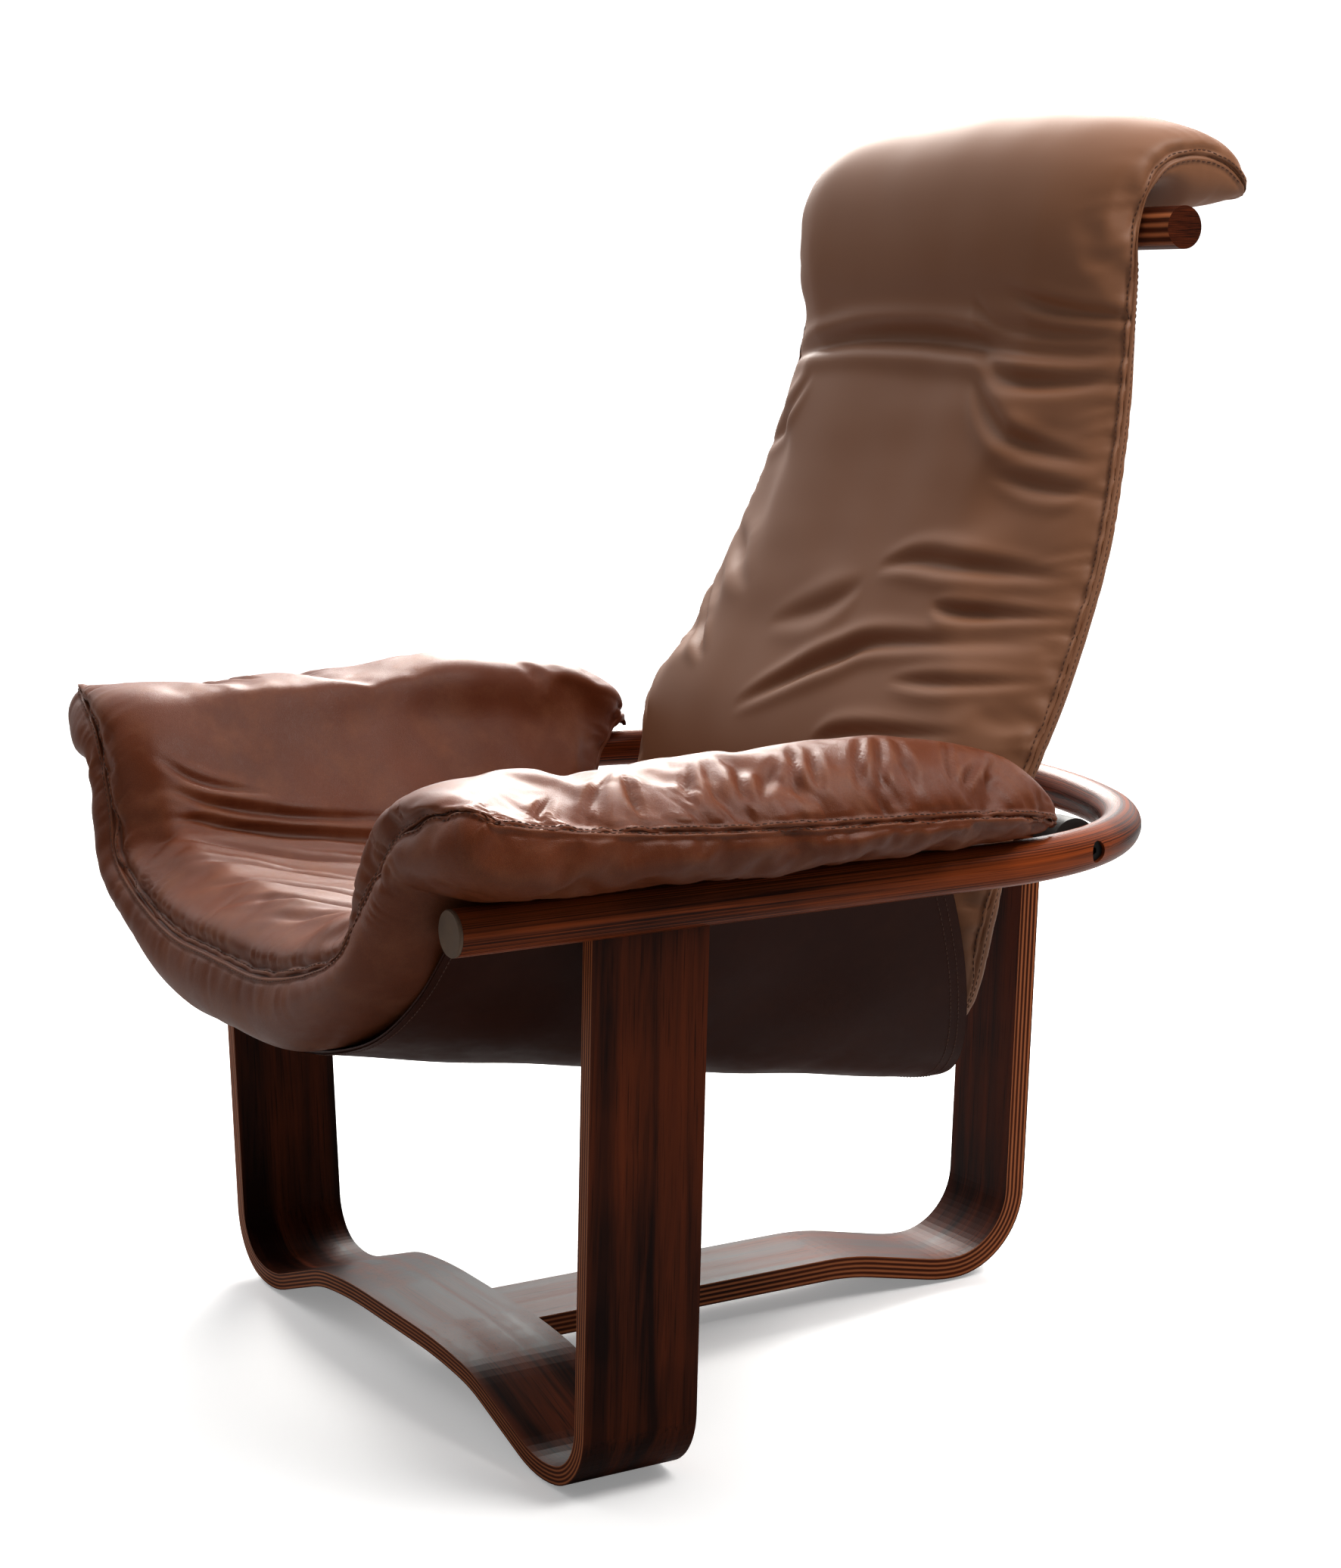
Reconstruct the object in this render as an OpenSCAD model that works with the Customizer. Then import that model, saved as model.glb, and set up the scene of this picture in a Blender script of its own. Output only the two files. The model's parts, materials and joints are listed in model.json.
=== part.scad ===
// Recliner armchair: laminated bentwood legs under a round arm hoop, a leather sling with a winged
// seat cushion, and a tall back cushion that tilts on two bolts through the hoop.
// The chair faces -Y and stands on Z = 0. X = 0 is its plane of symmetry.
// Inside this file Y counts from the centre of the front leg; the last line of each sub-part moves
// it so that the origin is under the middle of the whole chair.

/* [Arm hoop] */
// Distance between the two rails, centre to centre
hoop_w = 730; // [640:1:880]
// Height of the hoop's centre line
hoop_z = 469; // [430:1:560]
// Diameter of the round hoop rod
rod_d = 36; // [30:0.5:42]
// How far the rails reach in front of the front leg's centre
rail_reach = 161; // [130:1:200]
// From the front leg's centre to the middle of the hoop's rear
hoop_depth = 600; // [560:1:700]
// Radius of the hoop's rear corners, on the centre line
corner_r = 260; // [180:1:280]
// Turn of each rear corner, in degrees
corner_turn = 68; // [60:1:75]

/* [Front leg] */
// Width of the front band
front_band_w = 100; // [80:1:120]
// Thickness of the front band
front_band_t = 15; // [12:0.5:20]
// Outward flare of the front uprights, in degrees
front_flare = 3.6; // [0:0.1:6]
// Outer radius of the tight bend above each foot
front_bend_r = 60; // [45:1:75]
// Radius under each foot
foot_r = 120; // [90:1:150]
// Slope of the arch beside each foot, in degrees
arch_slope = 18.5; // [14:0.5:24]
// Half length of the arch's flat crown
crown_half = 50; // [40:1:80]

/* [Rear leg] */
// Width of the rear band
rear_band_w = 91; // [75:1:110]
// Thickness of the rear band
rear_band_t = 20; // [16:0.5:24]
// Backward lean of the rear upright, in degrees
rear_lean = 2.9; // [0:0.1:5]
// Outer radius of the rear bend
rear_bend_r = 80; // [60:1:95]
// Slope of the foot run in front of the rear bend, in degrees
rear_slope = 12; // [9:0.5:16]

/* [Back] */
// How far the tilting back's pivot stands behind the front leg's centre
pivot_y = 425; // [400:1:440]
// Furthest recline from the upright stop, in degrees
recline_max = 12; // [8:1:12]
// Diameter of the pivot bolts
pivot_d = 10; // [8:0.5:12]
// Diameter of the lower crossbar
low_bar_d = 32; // [26:1:34]
// Diameter of the head crossbar
head_bar_d = 36; // [28:1:38]
// Length of the head crossbar
head_bar_len = 552; // [500:1:600]
// Height of the head crossbar above the pivot
head_bar_rise = 503; // [480:1:540]
// How far the head crossbar stands behind the pivot
head_bar_back = 149; // [130:1:170]
// Width of each laminated back rib
rib_w = 45; // [35:1:60]
// Thickness of each back rib
rib_t = 12; // [10:0.5:16]
// Distance between the ribs, centre to centre
rib_gap = 280; // [220:1:320]

/* [Cushions] */
// Thickness of the seat cushion in the middle
seat_t = 108; // [90:1:115]
// How far the seat cushion's nose reaches in front of the front leg's centre
seat_nose = 220; // [205:1:240]
// Space between the seat cushion and the back cushion at full recline
seat_gap = 11; // [6:1:30]
// Height of the arm bolsters above the rail's top
arm_rise = 84; // [70:1:100]
// How far the arm bolsters overhang the rail's centre on the outside
arm_overhang = 63; // [50:1:75]
// Space between the back cushion's widest part and the hoop's inner side, at the pivot
back_side_gap = 27; // [22:1:40]

/* [Sling] */
// Thickness of the sling's leather
sling_t = 3; // [2:0.5:4]
// Depth of the sling below the hoop's centre line at its front edge
sling_drop_front = 154; // [130:1:170]
// Depth of the sling below the hoop's centre line at its rear edge
sling_drop_rear = 219; // [200:1:230]
// Diameter of the hem rods
hem_rod_d = 8; // [6:0.5:10]

/* [Fittings] */
// Clearance around bolts and screws, and between touching wooden parts
fit = 0.05; // [0.02:0.01:0.1]
// Clearance between soft parts and hard ones
soft_gap = 2; // [1:0.5:4]
// Diameter of the floor glides
glide_d = 18; // [14:1:24]
// Height of the floor glides
glide_h = 3; // [2:0.5:5]
// Diameter of the bolts that join the two legs
joint_bolt_d = 8; // [6:1:10]
// Diameter of the screws that hold the hoop on the legs
leg_screw_d = 5; // [4:0.5:6]

/* [Hidden] */
$fn = 64;
RING = 28;            // points round a cushion's cross-section
STEP = 6;             // degrees between the points of a bent band's outline
FACET_RUN = 11;                                  // longest facet along a gentle arc

rod_r = rod_d / 2;
rail_x = hoop_w / 2;
// The chair's front and back, which put the origin under its middle
chair_front = -seat_nose;
flap_reach = 113;                                // head flap's rear tip, behind the head bar
head_y = pivot_y + head_bar_back;
head_z = hoop_z + head_bar_rise;
chair_back = head_y + flap_reach;
middle_y = (chair_front + chair_back) / 2;

// ---- outlines ------------------------------------------------------------------------------

// A path is walked from a start point and heading (degrees) through pieces [kind, size, turn]:
// ["line", length, 0] or ["arc", centre-line radius, turn], a positive turn bending to the left.
function arc_steps(r, turn) = max(2, ceil(abs(turn) / STEP), ceil(r * abs(turn) * PI / 180 / FACET_RUN));

function arc_points(p, heading, r, turn) =
    let (side = turn > 0 ? 1 : -1,
         n = arc_steps(r, turn),
         c = p + side * r * [-sin(heading), cos(heading)])
    [for (i = [1:n]) let (a = heading + turn * i / n) c + side * r * [sin(a), -cos(a)]];

function headings(heading, r, turn) =
    let (n = arc_steps(r, turn))
    [for (i = [1:n]) heading + turn * i / n];

// Every point of the path as [x, y, heading]
function walk(p, heading, pieces, i = 0) =
    i == len(pieces) ? []
    : let (piece = pieces[i],
           pts = piece[0] == "line"
               ? [p + piece[1] * [cos(heading), sin(heading)]]
               : arc_points(p, heading, piece[1], piece[2]),
           hs = piece[0] == "line" ? [heading] : headings(heading, piece[1], piece[2]),
           last = pts[len(pts) - 1])
      concat([for (k = [0:len(pts) - 1]) [pts[k][0], pts[k][1], hs[k]]],
             walk(last, hs[len(hs) - 1], pieces, i + 1));

function side_of(path, d) = [for (q = path) [q[0] - d * sin(q[2]), q[1] + d * cos(q[2])]];

function reversed(list) = [for (i = [len(list) - 1:-1:0]) list[i]];

module band(path, t) {
    polygon(concat(side_of(path, t / 2), reversed(side_of(path, -t / 2))));
}

// Smooth curve through hand-chosen rows of numbers (Catmull-Rom), a row every 1 / per_span
function row_at(rows, i) = rows[min(max(i, 0), len(rows) - 1)];
function smooth_row(rows, i, f) =
    let (a = row_at(rows, i - 1), b = row_at(rows, i), c = row_at(rows, i + 1), d = row_at(rows, i + 2))
    0.5 * (2 * b + (c - a) * f + (2 * a - 5 * b + 4 * c - d) * f * f
           + (3 * b - a - 3 * c + d) * f * f * f);
function smooth(rows, per_span) =
    concat([for (i = [0:len(rows) - 2], k = [0:per_span - 1]) smooth_row(rows, i, k / per_span)],
           [rows[len(rows) - 1]]);

// Closed solid through rings of equal length, flat at both ends
module loft(rings) {
    n = len(rings[0]);
    m = len(rings);
    points = [for (ring = rings, p = ring) p];
    sides = [for (j = [0:m - 2], i = [0:n - 1])
        let (a = j * n + i, b = j * n + (i + 1) % n) [a, b, b + n, a + n]];
    first = [[for (i = [n - 1:-1:0]) i]];
    last = [[for (i = [0:n - 1]) (m - 1) * n + i]];
    polyhedron(points, concat(sides, first, last), convexity = 6);
}

// Closed sheet between two grids of points [row][column], an upper and a lower face
module sheet(upper, lower) {
    m = len(upper);
    n = len(upper[0]);
    all = concat([for (row = upper, p = row) p], [for (row = lower, p = row) p]);
    k = m * n;
    faces_up = [for (j = [0:m - 2], i = [0:n - 2])
        [j * n + i, j * n + i + 1, (j + 1) * n + i + 1, (j + 1) * n + i]];
    faces_down = [for (f = faces_up) [for (q = reversed(f)) q + k]];
    near = [for (i = [0:n - 2]) [i + 1, i, i + k, i + 1 + k]];
    far = [for (i = [0:n - 2]) let (a = (m - 1) * n + i) [a, a + 1, a + 1 + k, a + k]];
    left = [for (j = [0:m - 2]) [j * n, (j + 1) * n, (j + 1) * n + k, j * n + k]];
    right = [for (j = [0:m - 2]) let (a = j * n + n - 1) [a + n, a, a + k, a + n + k]];
    polyhedron(all, concat(faces_up, faces_down, near, far, left, right), convexity = 6);
}

module place() {
    translate([0, -middle_y, 0]) children();
}

module mirrored(side) {
    if (side < 0) mirror([1, 0, 0]) children();
    else children();
}

// ---- front leg -----------------------------------------------------------------------------

// From the crown outward: flat, two easing arcs, a straight slope, the foot, the bend, the upright
easing = [[700, 7], [180, arch_slope - 7]];      // [radius, turn] of the arch's shoulders
foot_lift = 12;                                  // the foot turns up by this before the tight bend
saddle = 4;                                      // how deep the rod sits in the top of a leg
half_t = front_band_t / 2;
foot_mid_r = foot_r - half_t;
bend_mid_r = front_bend_r - half_t;
up_turn = 90 - front_flare - foot_lift;
// The upright's centre line meets the rod's centre line at the rail, which sets the arch's length
easing_run = easing[0][0] * sin(easing[0][1])
    + easing[1][0] * (sin(arch_slope) - sin(easing[0][1]));
easing_drop = easing[0][0] * (1 - cos(easing[0][1]))
    + easing[1][0] * (cos(easing[0][1]) - cos(arch_slope));
foot_run = foot_mid_r * (sin(arch_slope) + sin(foot_lift));
foot_rise = foot_mid_r * (1 - cos(foot_lift));
bend_run = bend_mid_r * (sin(90 - front_flare) - sin(foot_lift));
bend_rise = bend_mid_r * (cos(foot_lift) - cos(90 - front_flare));
foot_low = glide_h + half_t;                     // centre line's lowest point
upright_from = foot_low + foot_rise + bend_rise;
upright_len = (hoop_z - upright_from) / cos(front_flare);
upright_run = upright_len * sin(front_flare);
slope_run = rail_x - crown_half - easing_run - foot_run - bend_run - upright_run;
slope_len = slope_run / cos(arch_slope);
crown_z = foot_low + foot_mid_r * (1 - cos(arch_slope)) + slope_len * sin(arch_slope) + easing_drop;
crown_under = crown_z - half_t;

function front_half() = walk([0, crown_z], 0, [
    ["line", crown_half, 0],
    ["arc", easing[0][0], -easing[0][1]],
    ["arc", easing[1][0], easing[0][1] - arch_slope],
    ["line", slope_len, 0],
    ["arc", foot_mid_r, arch_slope + foot_lift],
    ["arc", bend_mid_r, up_turn],
    ["line", upright_len, 0]
]);

module front_leg() {
    half = front_half();
    far = [for (q = reversed(half)) [-q[0], q[1], -q[2]]];
    place() color([0.27, 0.11, 0.07])
    difference() {
        rotate([90, 0, 0]) linear_extrude(front_band_w, center = true)
            band(concat(far, half), front_band_t);
        for (s = [-1, 1]) translate([s * rail_x, 0, hoop_z]) rotate([90, 0, 0])
            cylinder(r = rod_r + fit, h = front_band_w + 2, center = true);
        for (s = [-1, 1]) translate([s * rail_x, 0, hoop_z])
            cube([4 * rod_r, front_band_w + 2, 2 * (rod_r - saddle)], center = true);
        joint_bolt_holes(joint_bolt_d + 2 * insert_wall, crown_under + insert_len + fit);
        front_screws(leg_screw_d + 2 * fit, 0);
        glides_at_front() glide_nail(2 * fit);
    }
}

// ---- rear leg ------------------------------------------------------------------------------

rear_half_t = rear_band_t / 2;
rear_bend_mid_r = rear_bend_r - rear_half_t;
rear_foot_mid_r = 150 - rear_half_t;             // easing under the rear foot
rear_shoulder_r = 250;                           // easing where the foot run starts to fall
rear_top_z = crown_under - rear_half_t - fit;    // centre line under the front leg's crown
rear_low = glide_h + rear_half_t;
rear_up_turn = 90 - rear_lean;
rear_upright_from = rear_low + rear_bend_mid_r * (1 - cos(rear_up_turn));
rear_upright_len = (hoop_z - rear_upright_from) / cos(rear_lean);
rear_fall = rear_top_z - rear_low
    - (rear_shoulder_r + rear_foot_mid_r) * (1 - cos(rear_slope));
rear_slope_len = rear_fall / sin(rear_slope);
joint_y = 24;                                    // joint bolts, behind the crown's middle
joint_tongue = 17;                               // rear band in front of the joint bolts
rear_front_end = joint_y - joint_tongue;
rear_flat_len = hoop_depth - rear_front_end - rear_shoulder_r * sin(rear_slope)
    - rear_slope_len * cos(rear_slope) - rear_foot_mid_r * sin(rear_slope)
    - rear_bend_mid_r * sin(rear_up_turn) - rear_upright_len * sin(rear_lean);

function rear_path() = concat([[rear_front_end, rear_top_z, 0]], walk([rear_front_end, rear_top_z], 0, [
    ["line", rear_flat_len, 0],
    ["arc", rear_shoulder_r, -rear_slope],
    ["line", rear_slope_len, 0],
    ["arc", rear_foot_mid_r, rear_slope],
    ["arc", rear_bend_mid_r, rear_up_turn],
    ["line", rear_upright_len, 0]
]));

rear_foot_y = hoop_depth - rear_upright_len * sin(rear_lean) - rear_bend_mid_r * sin(rear_up_turn);

module rear_leg() {
    place() color([0.27, 0.11, 0.07])
    difference() {
        rotate([90, 0, 90]) linear_extrude(rear_band_w, center = true)
            band(rear_path(), rear_band_t);
        hoop_rod(rod_r + fit);
        translate([0, hoop_depth, hoop_z])
            cube([rear_band_w + 2, 4 * rod_r, 2 * (rod_r - saddle)], center = true);
        joint_bolt_holes(joint_bolt_d, rear_top_z + rear_band_t);
        rear_screws(leg_screw_d + 2 * fit, 0);
        glides_at_rear() glide_nail(2 * fit);
    }
}

// ---- joint between the legs ----------------------------------------------------------------

joint_bolt_gap = 44;
bolt_head_h = 4;
joint_socket_d = 5;
insert_wall = 2;
insert_len = front_band_t - 5;                   // blind, so nothing shows on the crown
joint_under = rear_top_z - rear_half_t;

module at_joint_bolts() {
    for (s = [-1, 1]) translate([s * joint_bolt_gap / 2, joint_y, 0]) children();
}

module joint_bolt_holes(d, top) {
    at_joint_bolts() translate([0, 0, -1]) cylinder(d = d + 2 * fit, h = top + 1);
}

module leg_joint_bolts() {
    place() color([0.16, 0.14, 0.13]) at_joint_bolts() difference() {
        union() {
            translate([0, 0, joint_under - bolt_head_h]) cylinder(d = 2 * joint_bolt_d, h = bolt_head_h);
            translate([0, 0, joint_under - 1])
                cylinder(d = joint_bolt_d, h = crown_under + insert_len - joint_under);
        }
        translate([0, 0, joint_under - bolt_head_h - 1])
            cylinder(d = joint_socket_d, h = bolt_head_h, $fn = 6);
    }
}

module leg_joint_inserts() {
    place() color([0.3, 0.29, 0.28]) at_joint_bolts() translate([0, 0, crown_under]) difference() {
        cylinder(d = joint_bolt_d + 2 * insert_wall, h = insert_len);
        translate([0, 0, -1]) cylinder(d = joint_bolt_d + 2 * fit, h = insert_len + 2);
    }
}

// ---- floor glides --------------------------------------------------------------------------

glide_x = rail_x - upright_run - bend_run - foot_mid_r * sin(foot_lift);
nail_d = 3;
nail_len = 8;
glide_inset = 20;

module glides_at_front() {
    for (sx = [-1, 1], sy = [-1, 1])
        translate([sx * glide_x, sy * (front_band_w / 2 - glide_inset), 0]) children();
}

module glides_at_rear() {
    for (sx = [-1, 1])
        translate([sx * (rear_band_w / 2 - glide_inset), rear_foot_y, 0]) children();
}

module glide_nail(extra) {
    cylinder(d = nail_d + extra, h = glide_h + nail_len + extra);
}

module glide() {
    cylinder(d1 = glide_d - 2, d2 = glide_d, h = 1);
    translate([0, 0, 1]) cylinder(d = glide_d, h = glide_h - 1 - fit);
    glide_nail(0);
}

module floor_glides() {
    place() color([0.12, 0.11, 0.1]) {
        glides_at_front() glide();
        glides_at_rear() glide();
    }
}

// ---- arm hoop ------------------------------------------------------------------------------

// Corner arcs turn the rails in, and one flat arc closes the rear
corner_cx = rail_x - corner_r;
rear_arc_turn = 90 - corner_turn;
rear_arc_r = (corner_cx + corner_r * cos(corner_turn)) / sin(rear_arc_turn);
corner_y = hoop_depth - rear_arc_r * (1 - cos(rear_arc_turn)) - corner_r * sin(corner_turn);
rear_arc_cy = hoop_depth - rear_arc_r;

module rod_arc(r, a0, turn, rr) {
    rotate([0, 0, a0]) rotate_extrude(angle = turn, $fn = 180) translate([r, 0]) circle(r = rr, $fn = 48);
}

// The rod's straight and curved lengths meet at hairline joints
module hoop_rod(rr) {
    hair = 0.005;
    for (s = [-1, 1]) {
        translate([s * rail_x, corner_y - 0.01, hoop_z]) rotate([90, 0, 0])
            cylinder(r = rr, h = corner_y + rail_reach - 0.01, $fn = 48);
    }
    translate([corner_cx, corner_y, hoop_z]) rod_arc(corner_r, 0, corner_turn - hair, rr);
    translate([-corner_cx, corner_y, hoop_z])
        rod_arc(corner_r, 180 - corner_turn + hair, corner_turn - hair, rr);
    translate([0, rear_arc_cy, hoop_z]) rod_arc(rear_arc_r, 90 - rear_arc_turn, 2 * rear_arc_turn, rr);
}

// The hoop's centre line at a given Y along a corner
function hoop_x(y) = corner_cx + sqrt(corner_r * corner_r - (y - corner_y) * (y - corner_y));
pivot_x = hoop_x(pivot_y);

cap_t = 3;
cap_plug_d = 14;
cap_plug_len = 12;

module arm_hoop() {
    place() color([0.33, 0.14, 0.08])
    difference() {
        hoop_rod(rod_r);
        for (s = [-1, 1]) {
            translate([s * rail_x, -rail_reach - 1, hoop_z]) rotate([-90, 0, 0])
                cylinder(d = cap_plug_d + 2 * fit, h = cap_plug_len + 2);
            translate([s * pivot_x, pivot_y, hoop_z]) rotate([0, 90, 0])
                cylinder(d = pivot_d + 2 * fit, h = 4 * rod_r, center = true);
            mirrored(s) translate([pivot_x + head_depth, pivot_y, hoop_z]) rotate([0, 90, 0])
                cylinder(d = pivot_head_d + 1, h = 2 * rod_r);
        }
        front_screws(leg_screw_d + 2 * fit, 2 * fit);
        rear_screws(leg_screw_d + 2 * fit, 2 * fit);
    }
}

module hoop_end_cap(side) {
    place() mirrored(side) color([0.36, 0.33, 0.28])
    translate([rail_x, -rail_reach - cap_t, hoop_z]) rotate([-90, 0, 0]) {
        cylinder(d1 = rod_d - 2, d2 = rod_d - 0.5, h = 1);
        translate([0, 0, 1]) cylinder(d = rod_d - 0.5, h = cap_t - 1 - fit);
        cylinder(d = cap_plug_d, h = cap_t + cap_plug_len - 1);
    }
}

// ---- screws between the hoop and the legs ---------------------------------------------------

screw_len = 78;
screw_head_d = 10;
screw_head_h = 3;
screw_top = hoop_z + rod_r - 1.5;

module leg_screw(d, extra) {
    translate([0, 0, screw_top - screw_len - extra]) cylinder(d = d, h = screw_len - 1);
    translate([0, 0, screw_top - screw_head_h - extra])
        cylinder(d1 = d, d2 = screw_head_d + extra, h = screw_head_h);
    translate([0, 0, screw_top - fit - extra])
        cylinder(d = screw_head_d + extra, h = extra > 0 ? 4 : fit);
}

module front_screws(d, extra) {
    for (sx = [-1, 1], sy = [-1, 1])
        translate([sx * rail_x, sy * front_band_w / 4, 0]) leg_screw(d, extra);
}

module rear_screws(d, extra) {
    for (sx = [-1, 1]) translate([sx * rear_band_w / 4, rear_screw_y, 0]) leg_screw(d, extra);
}

// The rear screws follow the flat arc of the hoop's rear
rear_screw_y = rear_arc_cy + sqrt(rear_arc_r * rear_arc_r - rear_band_w * rear_band_w / 16);

module front_leg_screws() {
    place() color([0.2, 0.18, 0.16]) front_screws(leg_screw_d, 0);
}

module rear_leg_screws() {
    place() color([0.2, 0.18, 0.16]) rear_screws(leg_screw_d, 0);
}

// ---- sling ---------------------------------------------------------------------------------

hem_rod_r = hem_rod_d / 2;
hem_r = hem_rod_r + 0.3 + sling_t / 2;           // centre line of the leather round the hem rod
hem_x = rail_x - rod_r - hem_r - sling_t / 2 - 0.6;
hem_z = hoop_z - 5;
sling_front = -rail_reach + 12;
sling_side_end = pivot_y - 133;                          // the sides stop here, in front of the back cushion
sling_floor_end = pivot_y - 33;                          // the floor of the sling runs on under it
sling_span = 440;
front_bow = 2.5;                                 // how square the sling's section is at its front
rear_bow = 4.5;

function along(y) = min(max((y - sling_front) / sling_span, 0), 1.2);
function sling_floor(y) = hoop_z - sling_drop_front - (sling_drop_rear - sling_drop_front) * along(y);
function sling_z(x, y) =
    let (low = sling_floor(y), bow = front_bow + (rear_bow - front_bow) * along(y))
    low + (hem_z - hem_r - low) * pow(min(abs(x) / hem_x, 1), bow);

// One side of a cross-section from the floor's middle out: the floor, the side, then the hem
SLING_N = 18;
HEM_N = 8;
function side_x(i) = let (f = i / SLING_N) hem_x * (1 - pow(1 - f, 1.6));
function sling_end(x) =
    let (f = min(abs(x) / hem_x, 1)) sling_floor_end - (sling_floor_end - sling_side_end) * pow(f, 5);
function sling_y(x, s) = sling_front + (sling_end(x) - sling_front) * s;

function hem_point(a) = [hem_x - hem_r * sin(a), hem_z - hem_r * cos(a)];

function half_section(s) = concat(
    [for (i = [0:SLING_N]) let (x = side_x(i), y = sling_y(x, s)) [x, y, sling_z(x, y)]],
    [for (k = [1:HEM_N]) let (q = hem_point(-k * 270 / HEM_N), y = sling_y(hem_x, s)) [q[0], y, q[1]]]);

function section(s) =
    let (h = half_section(s), n = len(h))
    concat([for (i = [n - 1:-1:1]) [-h[i][0], h[i][1], h[i][2]]], h);

// Offset of a section's points along their own normal in the XZ plane
function shifted(row, d) = [for (i = [0:len(row) - 1])
    let (a = row[max(i - 1, 0)], b = row[min(i + 1, len(row) - 1)],
         t = [b[0] - a[0], b[2] - a[2]], l = norm(t))
    [row[i][0] - d * t[1] / l, row[i][1], row[i][2] + d * t[0] / l]];

SLING_ROWS = 14;

module sling() {
    rows = [for (j = [0:SLING_ROWS]) section(j / SLING_ROWS)];
    place() color([0.24, 0.13, 0.09])
        sheet([for (r = rows) shifted(r, sling_t / 2)], [for (r = rows) shifted(r, -sling_t / 2)]);
}

hem_rod_len = sling_side_end - sling_front + 16;

module hem_rod(side) {
    place() mirrored(side) color([0.5, 0.48, 0.45])
    translate([hem_x, sling_front - 8, hem_z]) rotate([-90, 0, 0]) cylinder(r = hem_rod_r, h = hem_rod_len);
}

clip_t = 6;

// Each end of a hem rod sits in a clip that is screwed into the rail's inner side
module hem_clips(side) {
    place() mirrored(side) color([0.2, 0.19, 0.18])
    for (y = [sling_front - 7, sling_side_end + 1])
        translate([hem_x, y, hem_z]) difference() {
            rotate([-90, 0, 0]) linear_extrude(clip_t) difference() {
                union() {
                    circle(r = hem_rod_r + 3);
                    translate([0, -hem_rod_r - 3]) square([rail_x - hem_x, hem_rod_d]);
                }
                circle(r = hem_rod_r + fit);
            }
            translate([rail_x - hem_x, 0, hoop_z - hem_z]) rotate([90, 0, 0])
                cylinder(r = rod_r + fit, h = 4 * clip_t, center = true);
        }
}

// ---- seat cushion and arm bolsters -----------------------------------------------------------

// Rows along the cushion's side seam, from its lower end, over the head crossbar and down the flap:
// [behind the pivot, above the pivot, half width short of the widest, front depth, rear depth]
cushion_rows = [
    [-66, -180, 120, 8, 8],
    [-68, -173, 70, 24, 16],
    [-70, -154, 38, 36, 24],
    [-67, -124, 20, 43, 26],
    [-60, -69, 10, 47, 28],
    [-43, 0, 4, 50, 20],
    [-25, 56, 0, 50, 24],
    [15, 131, 5, 50, 26],
    [61, 231, 17, 50, 26],
    [94, 331, 34, 46, 24],
    [111, 411, 45, 36, 18],
    [119, 461, 50, 50, 10],
    [125, 503, 53, 52, 3],
    [136, 536, 53, 50, 6],
    [155, 557, 53, 44, 26],
    [187, 564, 53, 37, 50],
    [220, 557, 54, 33, 46],
    [246, 540, 60, 20, 26],
    [257, 530, 80, 6, 8]
];

// The seat stops short of the furthest forward that the back cushion's lower end swings
pad_swing = max([for (r = cushion_rows) (r[3] - r[0]) * cos(recline_max) - r[1] * sin(recline_max)]);
seat_end = pivot_y - pad_swing - seat_gap;
seam_x = 0.55 * rail_x;                          // where the seat meets each arm bolster
seat_under = sling_t / 2 + soft_gap;
nose_round = 45;
tail_round = 22;

function seat_low(x, y) = sling_z(x, max(y, sling_front)) + seat_under;
function seat_high(x, y) =
    sling_floor(max(y, sling_front)) + seat_under + seat_t
    + 0.16 * seat_t * pow(min(abs(x) / seam_x, 1), 3);
function ease(f) = sqrt(max(0, 1 - (1 - min(max(f, 0), 1)) * (1 - min(max(f, 0), 1))));
function seat_share(y) =
    min(ease((y + seat_nose) / nose_round), ease((seat_end - y) / tail_round));

seat_rows = [for (f = [0, 0.04, 0.12, 0.25, 0.45, 0.7, 1]) -seat_nose + f * nose_round];
seat_tail = [for (f = [1, 0.6, 0.25, 0.08, 0]) seat_end - f * tail_round];
seat_mid = [for (i = [0:7]) sling_front + (seat_end - tail_round - sling_front) * i / 8];
SEAT_COLS = 10;

function seat_ring(y) =
    let (k = max(seat_share(y), 0.2),
         xs = [for (i = [0:SEAT_COLS]) seam_x * (2 * i / SEAT_COLS - 1)])
    concat(
        [for (x = reversed(xs)) let (m = (seat_low(x, y) + seat_high(x, y)) / 2,
            h = (seat_high(x, y) - seat_low(x, y)) / 2) [x, y, m - k * h]],
        [for (x = xs) let (m = (seat_low(x, y) + seat_high(x, y)) / 2,
            h = (seat_high(x, y) - seat_low(x, y)) / 2) [x, y, m + k * h]]);

module seat_cushion() {
    place() color([0.42, 0.24, 0.15]) loft([for (y = concat(seat_rows, seat_mid, seat_tail)) seat_ring(y)]);
}

arm_front = seat_nose - 32;
arm_tip_y = pivot_y - 41;
arm_inner_end = seat_end + 34;                   // the inner part stops before the back cushion
arm_taper_from = 130;
arm_edge_z = hoop_z + rod_r + 46;
rail_top = hoop_z + rod_r + soft_gap / 2;
arm_tip = [rail_x - 18, rail_top + 2];
hem_inside = hem_x - hem_r - sling_t / 2 - soft_gap;
arm_shoulder = [hem_inside - 2, rail_top - 14];

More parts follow.
